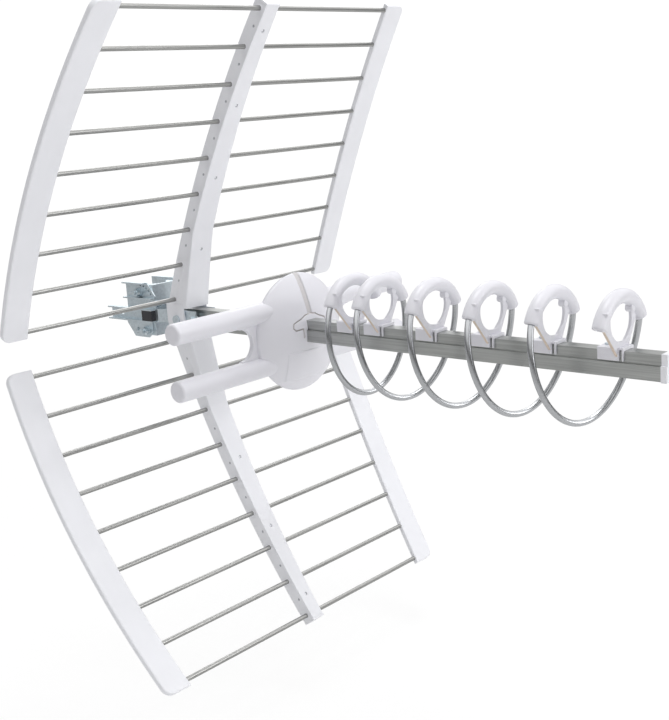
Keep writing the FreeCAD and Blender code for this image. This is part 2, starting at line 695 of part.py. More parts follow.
def make_spine(inset):
    """Upper spine: folded channel along the arc, deeper at the root, with ears that straddle the boom."""
    root = -ROOT_ROD_Z
    tip = panel_length() + SPINE_TIP_REACH
    wide = 2 * SPINE_ROOT_HALF_Y
    spine = spine_side(root, tip, 0).common(spine_taper(inset, SPINE_ROOT_Z))
    hollow = spine_side(root - 5, tip + 5, SPINE_WALL)
    spine = spine.cut(hollow.common(spine_taper(inset + SPINE_WALL, SPINE_ROOT_Z - 5)))
    outer = SPINE_ROOT_HALF_Y - inset
    neck = box(EAR_BOLT_X - EAR_REAR - EAR_R, EAR_BOLT_X + EAR_R, outer - SPINE_WALL, outer,
               CROSS_BOLT_Z, SPINE_ROOT_Z + 4)
    foot = box(EAR_BOLT_X - EAR_REAR, EAR_BOLT_X, outer - SPINE_WALL, outer,
               CROSS_BOLT_Z - EAR_R, CROSS_BOLT_Z)
    for x in (EAR_BOLT_X - EAR_REAR, EAR_BOLT_X):
        neck = neck.fuse(rod_along(Y_AXIS, EAR_R, V(x, outer - SPINE_WALL, CROSS_BOLT_Z), SPINE_WALL))
    spine = spine.fuse(both_sides(neck.fuse(foot)))
    first, second = rod_places()[:2]
    rib_y = spine_half_y(second[1], inset) - SPINE_WALL
    rib = plate([V(first[0] + RIB_GAP, rib_y, first[1]), V(first[0] + RIB_GAP + RIB_W, rib_y, first[1]),
                 V(second[0] + RIB_GAP + RIB_W, rib_y, second[1]), V(second[0] + RIB_GAP, rib_y, second[1])],
                V(0, spine_half_y(first[1], inset) + RIB_T - rib_y, 0))
    spine = spine.fuse(both_sides(rib))
    for x, z in rod_places():
        spine = spine.cut(hole_along(Y_AXIS, ROD_R + SLIP, V(x, -wide, z), 2 * wide))
    forward = V(math.cos(math.radians(ROOT_LEAN)), 0, -math.sin(math.radians(ROOT_LEAN)))
    for k in range(1, ROD_COUNT - 1, 2):
        x, z = panel_point((k + 0.5) * ROD_PITCH, SPINE_FRONT - 3 * SPINE_WALL)
        spine = spine.cut(hole_along(forward, SPINE_HOLE_R, V(x, 0, z), 3 * SPINE_REAR))
    bolt = hole_along(Y_AXIS, BOLT_R + SLIP, V(EAR_BOLT_X, -wide, CROSS_BOLT_Z), 2 * wide)
    return spine.cut(bolt)


def make_spine_cap(inset):
    """Moulded plug that closes the spine's outer end."""
    start = panel_length() + SPINE_TIP_REACH
    cap = panel_band(start, start + SPINE_CAP_T, SPINE_FRONT, -SPINE_REAR, 2 * SPINE_ROOT_HALF_Y)
    cap = cap.common(spine_taper(inset, SPINE_ROOT_Z))
    plug = panel_band(start - 3, start, SPINE_FRONT - SPINE_WALL - FACE_GAP, -SPINE_REAR,
                      2 * SPINE_ROOT_HALF_Y)
    return cap.fuse(plug.common(spine_taper(inset + SPINE_WALL + FACE_GAP, SPINE_ROOT_Z)))


def bar_inner_y(z):
    """Where the bar's inner edge lies at a height: a gentle curve through three rods' ends."""
    places = rod_places()
    knots = [(places[0][1], BAR_INNER_ROOT), (places[len(places) // 2][1], BAR_INNER_MID),
             (places[-1][1], BAR_INNER_TIP)]
    y = 0
    for k, (knot_z, knot_y) in enumerate(knots):
        weight = 1
        for other, (other_z, _) in enumerate(knots):
            if other != k:
                weight *= (z - other_z) / (knot_z - other_z)
        y += weight * knot_y
    return y


def rounded_corner(centre_y, centre_z, from_angle):
    """A quarter turn of points round a corner's centre, in the YZ plane."""
    points = []
    for k in range(CORNER_POINTS + 1):
        turn = math.radians(from_angle + 90 * k / CORNER_POINTS)
        points.append(V(0, centre_y + BAR_CORNER_R * math.cos(turn),
                        centre_z + BAR_CORNER_R * math.sin(turn)))
    return points


def make_side_bar():
    """Upper far bar: flat moulded strip, curved in both views, with a blind hole for each rod."""
    low_z = panel_point(-BAR_REACH, 0)[1]
    high_z = panel_point(panel_length() + BAR_REACH, 0)[1]
    heights = [low_z + (high_z - low_z) * k / BAR_FLATS for k in range(BAR_FLATS + 1)]
    outline = [V(0, bar_inner_y(z), z) for z in reversed(heights)]
    corner_y = BAR_WIDTH - BAR_CORNER_R
    outline += rounded_corner(bar_inner_y(low_z) + corner_y, low_z + BAR_CORNER_R, -90)
    outline += [V(0, bar_inner_y(z) + BAR_WIDTH, z) for z in heights[1:-1]]
    outline += rounded_corner(bar_inner_y(high_z) + corner_y, high_z - BAR_CORNER_R, 0)
    face_on = plate(outline, V(2 * panel_length(), 0, 0))
    band = panel_band(-2 * BAR_REACH, panel_length() + 2 * BAR_REACH, BAR_T / 2, -BAR_T / 2,
                      BAR_INNER_ROOT + 2 * BAR_WIDTH)
    bar = band.common(face_on)
    for x, z in rod_places():
        seat = V(x, bar_inner_y(z) - BAR_WIDTH, z)
        bar = bar.cut(hole_along(Y_AXIS, ROD_R + SLIP, seat, BAR_WIDTH + ROD_SEAT + SLIP))
    return bar


def make_rod(x, z):
    half = bar_inner_y(z) + ROD_SEAT
    return rod_along(Y_AXIS, ROD_R, V(x, -half, z), 2 * half)


def make_reflector_half(name, inset, flip):
    """Nine rods, a spine with its cap and two side bars; the lower half is the upper one mirrored."""
    place = mirror_z if flip else (lambda shape: shape)
    for k, (x, z) in enumerate(rod_places()):
        save(f"{name}_rod_{k + 1}", place(make_rod(x, z)))
    bar = make_side_bar()
    save(name + "_right_bar", place(bar))
    save(name + "_left_bar", place(mirror_y(bar)))
    save(name + "_spine_cap", place(make_spine_cap(inset)))


def lens(rings, inset):
    """Domed solid standing on the rim; each ring is a depth from the rim and a radius."""
    shrunk = []
    for depth, radius in rings:
        way = math.copysign(1, rings[-1][0])
        share = abs(depth / rings[-1][0])
        shrunk.append((depth - way * inset * share, radius - inset))
    return stacked(X_AXIS, V(DIPOLE_RIM_X, 0, DIPOLE_Z), shrunk, LENS_SIDES)


def front_lens(inset):
    return lens(DOME_RINGS, inset)


def rear_lens(inset):
    return lens(PAN_RINGS, inset)


def tube_core(radius, half_y):
    """The four horizontal arms of the box as two bars right across."""
    bars = []
    for z in (TUBE_HIGH_Z, TUBE_LOW_Z):
        start = V(DIPOLE_RIM_X, 0, z)
        rings = [(-half_y, radius - TUBE_END_ROUND), (-half_y + TUBE_END_ROUND, radius),
                 (half_y - TUBE_END_ROUND, radius), (half_y, radius - TUBE_END_ROUND)]
        bars.append(stacked(Y_AXIS, start, rings, TUBE_SIDES))
    return bars


def arms_outside():
    """Four closed hollow arms and the two webs, from just inside the rim outward."""
    high, low = tube_core(TUBE_R, TUBE_HALF_Y)
    web = box(DIPOLE_RIM_X - WEB_T / 2, DIPOLE_RIM_X + WEB_T / 2, -WEB_END_Y, WEB_END_Y,
              TUBE_LOW_Z, TUBE_HIGH_Z)
    cut_r = TUBE_SPACING / 2 - TUBE_R
    for side in (-1, 1):
        place = V(DIPOLE_RIM_X - WEB_T, side * WEB_CUT_Y, DIPOLE_Z)
        web = web.cut(hole_along(X_AXIS, cut_r, place, 2 * WEB_T))
        slot = box(DIPOLE_RIM_X - WEB_T, DIPOLE_RIM_X + WEB_T, WEB_CUT_Y, WEB_END_Y + 1,
                   DIPOLE_Z - cut_r, DIPOLE_Z + cut_r)
        web = web.cut(slot if side > 0 else mirror_y(slot))
    shape = high.fuse(low).fuse(web)
    for bore in tube_core(TUBE_R - TUBE_WALL, TUBE_HALF_Y - TUBE_WALL):
        shape = shape.cut(bore)
    return shape


def boom_clearance():
    """Passage for the boom through the box."""
    start = DIPOLE_RIM_X + 2 * PAN_RINGS[-1][0]
    points = boom_outline(start, -FACE_GAP)
    return plate(points, V(4 * DOME_RINGS[-1][0], 0, 0))


def clip_outline(grow):
    """Outline of the boom clip on the dome: a bridge over the boom with a lug on each side."""
    base_y, base_z = CLIP_LINE_BASE
    points = [V(0, 0, base_z - grow), V(0, base_y + grow, base_z - grow)]
    points += [V(0, y + grow, z + grow) for y, z in CLIP_LINE_LUG]
    points += [V(0, y + grow / 2, z + grow) for y, z in CLIP_LINE_BRIDGE]
    points += [V(0, -p.y, p.z) for p in reversed(points[1:-1])]
    start = V(DIPOLE_RIM_X, 0, 0)
    return plate([start + p for p in points], V(2 * DOME_RINGS[-1][0], 0, 0))


def make_dipole_housing():
    """Rear shell: shallow pan with four hollow arms and the webs between them, all one moulding."""
    inner = DIPOLE_RIM_R - DIPOLE_WALL
    ring = stacked(X_AXIS, V(DIPOLE_RIM_X, 0, DIPOLE_Z), [(-inner, inner), (inner, inner)], LENS_SIDES)
    arms = arms_outside().cut(ring)
    pan = rear_lens(0).cut(rear_lens(DIPOLE_WALL))
    for bore in tube_core(TUBE_R - TUBE_WALL, TUBE_HALF_Y - TUBE_WALL):
        pan = pan.cut(bore)
    socket = rod_along(V(-1, 0, 0), SOCKET_R + SLIP, V(DIPOLE_RIM_X, 0, SOCKET_Z), DIPOLE_RIM_R)
    return pan.fuse(arms).cut(boom_clearance()).cut(socket)


def make_dipole_cover():
    """Front shell: domed lid with a groove, a plain raised panel and the outline of the boom clip."""
    outside = front_lens(0)
    panel = box(DIPOLE_RIM_X + 2, DIPOLE_RIM_X + 2 * DOME_RINGS[-1][0], -PAD_HALF_Y, PAD_HALF_Y,
                PAD_LOW_Z, PAD_HIGH_Z)
    raised = front_lens(-PAD_RISE).common(panel)
    cover = outside.fuse(raised).cut(front_lens(DIPOLE_WALL))
    groove = box(DIPOLE_RIM_X + 2, DIPOLE_RIM_X + 2 * DOME_RINGS[-1][0], -GROOVE_W / 2, GROOVE_W / 2,
                 0, DIPOLE_RIM_R)
    cover = cover.cut(groove.cut(front_lens(GROOVE_DEPTH)))
    line = clip_outline(CLIP_LINE_W).cut(clip_outline(0))
    cover = cover.cut(line.cut(front_lens(CLIP_LINE_DEPTH)))
    drain = box(DIPOLE_RIM_X + 2, DIPOLE_RIM_X + 2 + DRAIN_W, DRAIN_Y - DRAIN_LENGTH / 2,
                DRAIN_Y + DRAIN_LENGTH / 2, DIPOLE_Z - DIPOLE_RIM_R, DIPOLE_Z - PAN_RINGS[-1][1])
    cover = cover.cut(drain)
    for bar in tube_core(TUBE_R + FACE_GAP, TUBE_HALF_Y):
        cover = cover.cut(bar)
    return cover.cut(boom_clearance()).cut(arms_outside())


def make_dipole_element():
    """Far half of the dipole: flat loop of sheet metal lying in the two arms of one side."""
    front = DIPOLE_RIM_X + ELEMENT_T / 2
    rear = DIPOLE_RIM_X - ELEMENT_T / 2
    half = ELEMENT_W / 2
    loop = box(rear, front, ELEMENT_INNER_Y, ELEMENT_HALF_Y, TUBE_HIGH_Z - half, TUBE_HIGH_Z + half)
    loop = loop.fuse(box(rear, front, ELEMENT_INNER_Y, ELEMENT_HALF_Y, TUBE_LOW_Z - half, TUBE_LOW_Z + half))
    return loop.fuse(box(rear, front, ELEMENT_INNER_Y, ELEMENT_INNER_Y + ELEMENT_W, TUBE_LOW_Z, TUBE_HIGH_Z))


def make_balun_board():
    """Matching board under the boom, between the two dipole halves."""
    x = DIPOLE_RIM_X + ELEMENT_T / 2 + FACE_GAP
    top = -BOOM_HALF_Z - 2
    return box(x, x + BOARD_T, -BOARD_W / 2, BOARD_W / 2, top - BOARD_H, top)


def make_coax_socket():
    """Threaded aerial socket that points rearward out of the pan, below the boom."""
    back = V(-1, 0, 0)
    wall_x = DIPOLE_RIM_X + PAN_RINGS[-1][0]
    flange_x = wall_x + DIPOLE_WALL + SLIP
    start = V(flange_x + SOCKET_FLANGE_T, 0, SOCKET_Z)
    barrel = rod_along(back, SOCKET_R, start, start.x - wall_x + SOCKET_LENGTH)
    flange = rod_along(back, SOCKET_FLANGE_R, start, SOCKET_FLANGE_T)
    bore = rod_along(back, SOCKET_R - SOCKET_WALL, V(wall_x, 0, SOCKET_Z), SOCKET_LENGTH)
    pin = rod_along(back, SOCKET_PIN_R, V(wall_x, 0, SOCKET_Z), SOCKET_LENGTH - SOCKET_WALL)
    return barrel.fuse(flange).cut(bore).fuse(pin)


def hook_places():
    """Where the hooks' arches stand along the boom; the first pitch is about half of the others."""
    places = [HOOK_2_X - FIRST_PITCH]
    for k in range(HOOK_COUNT - 1):
        places.append(HOOK_2_X + k * HOOK_PITCH)
    return places


def arch_end():
    """Half the arch's width and its height where the rod leaves it for the open loop."""
    over = math.radians(LOOP_OVERRUN)
    return LOOP_HALF_Y * math.cos(over), LOOP_Z + LOOP_HALF_Z * math.sin(over)


def arch_circle():
    """Radius and centre height of the arc that carries the rod through a hook."""
    half_y, end_z = arch_end()
    rise = ARCH_TOP_Z - end_z
    radius = (half_y ** 2 + rise ** 2) / (2 * rise)
    return radius, ARCH_TOP_Z - radius


def arch_end_angle():
    radius, centre_z = arch_circle()
    return math.degrees(math.asin((arch_end()[1] - centre_z) / radius))


def arch_point(x, angle):
    """Place on the arc over the boom in the plane of a hook; the angle is from +Y towards +Z."""
    radius, centre_z = arch_circle()
    turn = math.radians(angle)
    return V(x, LOOP_Y + radius * math.cos(turn), centre_z + radius * math.sin(turn))


def arch_stations(x, from_angle, to_angle, count):
    """Places and directions along a hook's arc."""
    stations = []
    for k in range(count + 1):
        angle = from_angle + (to_angle - from_angle) * k / count
        turn = math.radians(angle)
        stations.append((arch_point(x, angle), V(0, -math.sin(turn), math.cos(turn))))
    return stations


def loop_point(x0, x1, share):
    """Place on one open loop, from a hook's near side (0) under the boom to the next far side (1)."""
    over = math.radians(LOOP_OVERRUN)
    turn = -over + share * (math.pi + 2 * over)
    drift = max(share, 0) ** LOOP_DRIFT
    return V(x0 + (x1 - x0) * drift, LOOP_Y - LOOP_HALF_Y * math.cos(turn),
             LOOP_Z - LOOP_HALF_Z * math.sin(turn))


def loop_stations(x0, x1):
    """Places and directions along one open loop, without its two ends."""
    stations = []
    for k in range(1, LOOP_POINTS):
        share = k / LOOP_POINTS
        ahead = loop_point(x0, x1, share + LOOK_AHEAD)
        behind = loop_point(x0, x1, share - LOOK_AHEAD)
        stations.append((loop_point(x0, x1, share), (ahead - behind).normalize()))
    return stations


def bore_stations(x, end):
    """The hook's arc, run on a little in a straight line past both ends."""
    stations = arch_stations(x, end, 180 - end, ARCH_POINTS)
    first, last = stations[0], stations[-1]
    before = (first[0] - first[1] * BORE_RUN_OUT, first[1])
    after = (last[0] + last[1] * BORE_RUN_OUT, last[1])
    return [before] + stations + [after]


def make_helix():
    """One long rod: five turns, carried through the arches of the six hooks."""
    end = arch_end_angle()
    stations = []
    previous = None
    for x in hook_places():
        if previous is not None:
            stations += loop_stations(previous, x)
        stations += arch_stations(x, end, 180 - end, ARCH_POINTS)
        previous = x
    return bar_along(stations[1:-1], HELIX_R, HELIX_SIDES)


def tapered_slot(x, wide, narrow, thickness):
    """Egg-shaped hole through a plate in the YZ plane; each end is given as side, height and radius."""
    gap = math.hypot(narrow[0] - wide[0], narrow[1] - wide[1])
    lean = math.atan2(narrow[1] - wide[1], narrow[0] - wide[0])
    tangent = math.acos((wide[2] - narrow[2]) / gap)
    corners = []
    for centre_y, centre_z, radius, side in (wide + (1,), narrow + (1,), narrow + (-1,), wide + (-1,)):
        angle = lean + side * tangent
        corners.append(V(x, centre_y + radius * math.cos(angle), centre_z + radius * math.sin(angle)))
    slot = plate(corners, V(thickness, 0, 0))
    for centre_y, centre_z, radius in (wide, narrow):
        slot = slot.fuse(rod_along(X_AXIS, radius, V(x, centre_y, centre_z), thickness))
    return slot.removeSplitter()


def make_hook(x):
    """Hook support: saddle foot on the rail, a holed web and the thick tubular arch for the rod."""
    end = arch_end_angle()
    half_y, end_z = arch_end()
    arch = bar_along(arch_stations(x, end, 180 - end, ARCH_POINTS), ARCH_R, ARCH_SIDES)
    low_z = BOOM_STEP_Z + BOOM_STEP_RISE + FACE_GAP
    top_z = BOOM_HALF_Z + FOOT_TOP
    outer_y = BOOM_RAIL_HALF_Y + FOOT_WALL
    foot = box(x - FOOT_REAR, x + FOOT_FRONT, -outer_y, outer_y, low_z, top_z)
    recess = box(x + HOOK_WEB_T / 2 + FOOT_RIB, x + FOOT_FRONT - 2 * FOOT_RIB, -outer_y - 1, outer_y + 1,
                 low_z - 1, top_z - 2)
    foot = foot.cut(recess)
    near_y = LOOP_Y - half_y
    far_y = LOOP_Y + half_y
    web_top = ARCH_TOP_Z - WEB_TOP_DROP
    outline = [(near_y + WEB_NEAR_IN, end_z), (-outer_y + FOOT_TAPER, low_z + 2),
               (outer_y - FOOT_TAPER, low_z + 1), (outer_y + 2, top_z), (far_y - WEB_FAR_IN, end_z),
               (far_y - WEB_FAR_STEP, end_z + ARCH_R), (far_y / 2, web_top), (near_y / 2, web_top)]
    back_x = x - HOOK_WEB_T / 2
    web = plate([V(back_x, y, z) for y, z in outline], V(HOOK_WEB_T, 0, 0))
    web = web.cut(tapered_slot(back_x - 1, HOOK_HOLE_TOP, HOOK_HOLE_BOTTOM, HOOK_WEB_T + 2))
    lug = rod_along(X_AXIS, LUG_R, V(back_x - LUG_RISE, LUG_Y, LUG_Z), HOOK_WEB_T + 2 * LUG_RISE)
    hook = arch.fuse(foot).fuse(web).fuse(lug)
    clip = box(x - CLIP_W / 2, x + CLIP_W / 2, near_y + 2, near_y + ARCH_R + CLIP_IN, end_z, end_z + CLIP_H)
    hook = hook.fuse(clip)
    nib = box(x, x + ARCH_R + NIB_RISE, near_y + 1, near_y + 1 + NIB_W, NIB_Z, NIB_Z + NIB_H)
    hook = hook.fuse(nib)
    rail = box(x - FOOT_REAR - 1, x + FOOT_FRONT + 1, -BOOM_RAIL_HALF_Y - SLIP, BOOM_RAIL_HALF_Y + SLIP,
               low_z - 2, BOOM_HALF_Z)
    hook = hook.cut(rail)
    bore_r = (HELIX_R + SLIP) / math.cos(math.pi / HELIX_SIDES)
    hook = hook.cut(bar_along(bore_stations(x, end), bore_r, HELIX_SIDES))
    screw = rod_along(Z_AXIS, HOOK_SCREW_R + SLIP, V(x - HOOK_SCREW_BACK, 0, BOOM_HALF_Z - 1), FOOT_TOP + 2)
    return hook.cut(screw)


def make_hook_screws():
    """Pan-head screws that fix the feet to the rail."""
    screws = []
    for x in hook_places():
        top_z = BOOM_HALF_Z + FOOT_TOP
        place = V(x - HOOK_SCREW_BACK, 0, top_z)
        head = rod_along(Z_AXIS, HOOK_SCREW_HEAD_R, place, HOOK_SCREW_HEAD_T)
        shank = rod_along(V(0, 0, -1), HOOK_SCREW_R, place, FOOT_TOP + BOOM_WALL + 3)
        screws.append(head.fuse(shank))
    return Part.makeCompound(screws)


def main():
    os.makedirs("parts", exist_ok=True)
    save("mast_jaw", make_mast_jaw())
    save("u_bolts", make_u_bolts())
    save("u_bolt_washers", ubolt_hardware(ubolt_washer))
    save("u_bolt_nuts", ubolt_hardware(ubolt_nut))
    save("tilt_studs", make_studs())
    save("stud_washers", make_stud_washers())
    save("upper_wing_nut", make_wing_nut(PIVOT_X, PIVOT_Z))
    save("lower_wing_nut", make_wing_nut(LOCK_X, LOCK_Z))
    save("far_stud_nuts", make_far_nuts())
    arm = make_tilt_arm()
    save("tilt_arm_far", arm)
    save("tilt_arm_near", mirror_y(arm))
    save("arm_plug", make_arm_plug())
    save("boom", make_boom())
    save("boom_front_cap", make_boom_cap(BOOM_FRONT_X, 1))
    save("boom_rear_cap", make_boom_cap(BOOM_REAR_X, -1))
    save("cross_bolts", make_cross_bolts())
    save("cross_nuts", make_cross_nuts())
    save("arm_bushes", make_bushes())
    save("upper_spine", make_spine(0))
    lower = mirror_z(make_spine(LOWER_SPINE_INSET))
    save("lower_spine", lower)
    make_reflector_half("upper", 0, False)
    make_reflector_half("lower", LOWER_SPINE_INSET, True)
    save("dipole_housing", make_dipole_housing())
    save("dipole_cover", make_dipole_cover())
    element = make_dipole_element()
    save("dipole_element_right", element)
    save("dipole_element_left", mirror_y(element))
    save("balun_board", make_balun_board())
    save("coax_socket", make_coax_socket())
    for k, x in enumerate(hook_places()):
        save(f"hook_{k + 1}", make_hook(x))
    save("hook_screws", make_hook_screws())
    save("helix_rod", make_helix())


main()
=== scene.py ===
import json
import math

import bpy
import numpy as np
from mathutils import Matrix, Vector


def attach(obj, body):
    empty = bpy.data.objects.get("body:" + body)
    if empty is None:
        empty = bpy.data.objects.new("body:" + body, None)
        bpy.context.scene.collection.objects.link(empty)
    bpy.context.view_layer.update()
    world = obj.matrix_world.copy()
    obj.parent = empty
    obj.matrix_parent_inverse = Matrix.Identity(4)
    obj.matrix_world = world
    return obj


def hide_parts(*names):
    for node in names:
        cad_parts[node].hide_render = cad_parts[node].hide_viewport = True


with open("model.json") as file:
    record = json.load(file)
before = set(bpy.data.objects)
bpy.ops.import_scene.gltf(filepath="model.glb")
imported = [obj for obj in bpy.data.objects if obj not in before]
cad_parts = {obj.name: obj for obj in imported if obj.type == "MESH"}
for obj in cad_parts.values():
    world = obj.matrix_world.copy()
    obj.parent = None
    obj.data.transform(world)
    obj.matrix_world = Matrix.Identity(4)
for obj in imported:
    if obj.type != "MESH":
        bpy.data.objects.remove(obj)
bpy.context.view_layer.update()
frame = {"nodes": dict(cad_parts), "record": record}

# Looks of the helical aerial: finishes for every piece, a pale floor, soft light and the camera.
# The record's frame: +X along the boom, +Y along the rods, +Z up the mast.

# Camera, solved from the photograph's rods and boom, in metres and pixels
CAMERA_PLACE = (1.1854, -0.9764, 0.2567)
CAMERA_RIGHT = (0.7498, 0.6584, -0.0657)
CAMERA_FORWARD = (-0.655, 0.7244, -0.2149)
FOCAL_PIXELS = 1177.0
FRAME_WIDTH = 669.0
SENSOR_MM = 36.0

# Stage and light, in metres and watts
FLOOR_Z = -0.46
FLOOR_HALF = 30.0
FLOOR_COLOUR = (0.9, 0.9, 0.9, 1.0)
# How much plain white the camera sees in the floor near the part, and where it becomes all white
FLOOR_GLOW = 0.84
FLOOR_WHITE = 1.04
FADE_START = 0.7
FADE_END = 3.0
WORLD_LIGHT = 0.51
WORLD_WHITE = 1.06
# Reflections see a surround that brightens between two heights of the ray's direction
SKY_LOW_Z = 0.04
SKY_HIGH_Z = 0.6
SKY_DARK = 0.14
SKY_BRIGHT = 1.5
LAMP_TARGET = (0.32, 0.0, 0.0)
# Each lamp's name, place, width and power
LAMPS = (("key", (0.6, 0.1, 2.6), 1.2, 32.0),
         ("front", (2.5, 0.9, 0.7), 1.2, 15.0),
         ("rim", (-1.6, 1.8, 1.6), 1.4, 12.0))

# Colours and surfaces
MARK = "mark"
COOL_WHITE = (0.93, 0.935, 0.975)
WARM_WHITE = (0.83, 0.825, 0.875)
# Painted shade: dark colour for the spine's dimples, standing in for the shade inside them
DIMPLE_PAINTED_SHADE = (0.30, 0.31, 0.34)
# Painted shade for the dome's recessed groove and the clip's outline line
SHADED_GROOVE = (0.50, 0.465, 0.44)
# Tan tint along each hook's near strut edge
STRUT_EDGE_TAN = (0.72, 0.60, 0.50)
COOL_ROUGH = 0.42
WARM_ROUGH = 0.34
PLASTIC_GRAIN = 0.03
SHARP_ANGLE = math.radians(32.0)
ALONG_X = 0
ALONG_Y = 1

# Sizes of the smooth forms from here on are in millimetres
MM = 0.001

# Helix and hooks
HOOK_PLACES = (338.9, 378.0, 449.7, 521.4, 593.1, 664.8)
HELIX_R = 3.2
LOOP_Y = -2.7
LOOP_HALF_Y = 48.3
LOOP_HALF_Z = 63.5
LOOP_Z = -0.5
LOOP_OVERRUN = math.radians(37.0)
LOOP_DRIFT = 1.25
ROD_INSIDE = math.radians(20.0)
EASE_COUNT = 7
ARCH_TOP_Z = 63.0
ARCH_R = 7.3
BORE_R = 2.8
# The tube's end: how far each step lies inside it, as an angle, and the step's radius
TUBE_MOUTH = ((0.0, BORE_R), (0.0, 5.6), (0.0, 6.6), (0.012, 7.1), (0.035, ARCH_R))
WEB_T = 3.2
WEB_CENTRE = (-0.8, 36.0)
# The web's corners at its foot, and the lower end of its near strut's cut edge
WEB_FOOT = ((-8.8, 5.1), (9.1, 4.4), (12.6, 15.7))
STRUT_FOOT = (-9.6, 6.1)
# The web's hole: centre's Y, centre's Z and radius of its two rounds
HOLE_TOP = (LOOP_Y, 40.5, 20.0)
HOLE_LOW = (1.0, 27.0, 7.0)
RAIL_HALF_Y = 8.05
RAIL_LOW_Z = 3.1
RAIL_TOP_Z = 12.52
FOOT_HALF_Y = 10.6
FOOT_TOP_Z = 15.7
# The foot runs back from its hook and a little ahead; a notch parts it from the plate in front
FOOT_BACK = 20.0
FOOT_AHEAD = 2.4
NOTCH_END = 5.4
FOOT_END = 7.0
ROOF_LOW_Z = 13.7
ROOF_X = (1.5, 6.2)
ROOF_HALF_Y = 10.4
LUG_CENTRE = (17.5, 49.0)
LUG_PROFILE = ((-4.0, 1.0), (-3.9, 3.0), (-3.5, 3.8), (-2.8, 4.0), (2.8, 4.0), (3.5, 3.8), (3.9, 3.0),
               (4.0, 1.0))
CLIP_HALF_X = 4.6
CLIP_TALL = 13.5
CLIP_IN_Y = 2.3
CLIP_PAST_Y = 3.0
NIB_X = (2.0, 7.9)
NIB_IN_Y = (1.4, 4.9)
NIB_Z = (50.6, 53.4)

# Dipole box
RIM_X = 249.0
RIM_R = 69.0
BOX_Z = -3.5
DOME_PROFILE = ((69.0, 0.0), (68.9, 1.2), (68.0, 3.0), (61.5, 7.0), (50.0, 12.0), (36.0, 17.0), (22.0, 21.0),
                (9.0, 23.5), (0.0, 24.0))
PAN_PROFILE = ((69.0, 0.0), (67.5, -4.0), (60.0, -12.0), (46.0, -20.0), (40.0, -22.0), (0.0, -22.0))
SHELL_T = 2.2
LIP_SHARE = 0.97
BOOM_SECTION = ((-10.0, -12.5), (10.0, -12.5), (10.0, 1.5), (8.0, 1.5), (8.0, 12.5), (-8.0, 12.5),
                (-8.0, 1.5), (-10.0, 1.5))
PASSAGE_ROOM = (1.012, 1.01)
PLATE_HALF_Y = 35.0
PLATE_LOW_Z = -57.0
PLATE_TOP_Z = -22.5
PLATE_RISE = 0.9
PLATE_EDGE = 0.9
GROOVE_HALF_Y = 3.7
GROOVE_LOW_Z = 19.5
GROOVE_DEPTH = 1.9
GROOVE_EDGE = 1.2
GROOVE_SHADE = 0.55
LINE_HALF = 0.6
LINE_DEPTH = 1.6
LINE_EDGE = 0.7
CLIP_LINE = ((-14.0, -6.5), (-14.0, 3.5), (-24.0, 2.6), (-27.0, 5.5), (-26.0, 10.5), (-20.0, 13.0),
             (-14.0, 15.0), (-9.0, 18.0), (0.0, 19.5), (9.0, 18.0), (14.0, 15.0), (20.0, 13.0),
             (26.0, 10.5), (27.0, 5.5), (24.0, 2.6), (14.0, 3.5), (14.0, -6.5))
TUBE_R = 11.9
TUBE_BACK = 3.0
TUBE_ROOT_Y = 44.0
TUBE_OUT_Y = 189.5
TUBE_END_R = 3.0
TUBE_SPACING = 62.0
BRIDGE_OUT_Y = 100.0
BRIDGE_HALF_Z = 27.0
BRIDGE_CUT_Y = 92.0
BRIDGE_CUT_R = 18.0
BRIDGE_BACK = 4.0
BRIDGE_DROP = 0.4

# Reflector: offsets are in front of the rods' arc, distances run along it from the first rod
PANEL_ROOT_X = 57.0
PANEL_ROOT_Z = 26.0
PANEL_LEAN = math.radians(20.0)
PANEL_RADIUS = 1350.0
ROD_COUNT = 9
ROD_PITCH = 47.7
ROD_R = 2.8
ROD_SEAT = 8.0
ROD_EDGE = 0.4
PANEL_LENGTH = (ROD_COUNT - 1) * ROD_PITCH
# The bars' inner edge at the first, fifth and last rod
BAR_INNER_Y = (239.5, 231.5, 208.0)
BAR_PAST = 7.9
BAR_WIDTH = 33.8
BAR_HALF_T = 3.9
BAR_CORNER_R = 11.0
SPINE_END = PANEL_LENGTH + 6.4
SPINE_REAR = -10.4
SPINE_REAR_START = -16.1
SPINE_FRONT = 7.9
SPINE_FRONT_START = -4.2
SPINE_DEEP = 13.9
SPINE_DEEP_END = 94.0
SPINE_ROOT_HALF_Y = 19.75
SPINE_TIP_HALF_Y = 10.5
SPINE_WALL = 1.3
SPINE_NEST = 1.4
# Dimples' places along the spine in rod pitches, their sizes, and how deep in the side they lie
FRONT_DIMPLES = (1.5, 3.5, 5.5, 7.5)
SIDE_DIMPLES = tuple(k + 0.55 for k in range(ROD_COUNT - 1))
FRONT_DIMPLE_R = 1.7
SIDE_DIMPLE_R = 1.5
SIDE_DIMPLE_DEEP = 12.0
SIDE_DIMPLE_SHARE = 0.45
DIMPLE_EDGE = 0.8
DIMPLE_DEPTH = 1.6
RIB_DEEP = 14.5
RIB_HALF = 3.4
RIB_HIGH = 0.8
EAR_OUT_Y = 19.8
EAR_R = 13.9
EAR_X = 55.7
EAR_SPREAD = 2.25
# The ear's two corners inside the channel, in X and Z
EAR_ROOT = ((71.8, 20.0), (39.6, 20.0))
# Collar round each rod: how far each step stands out of the spine's side, and its radius
COLLAR = ((-0.5, 2.85), (-0.5, 3.9), (0.35, 3.9), (0.6, 3.6), (0.6, 2.85))
# Skins of a spine
INSIDE, SIDE, FRONT = 0, 1, 2


# Materials

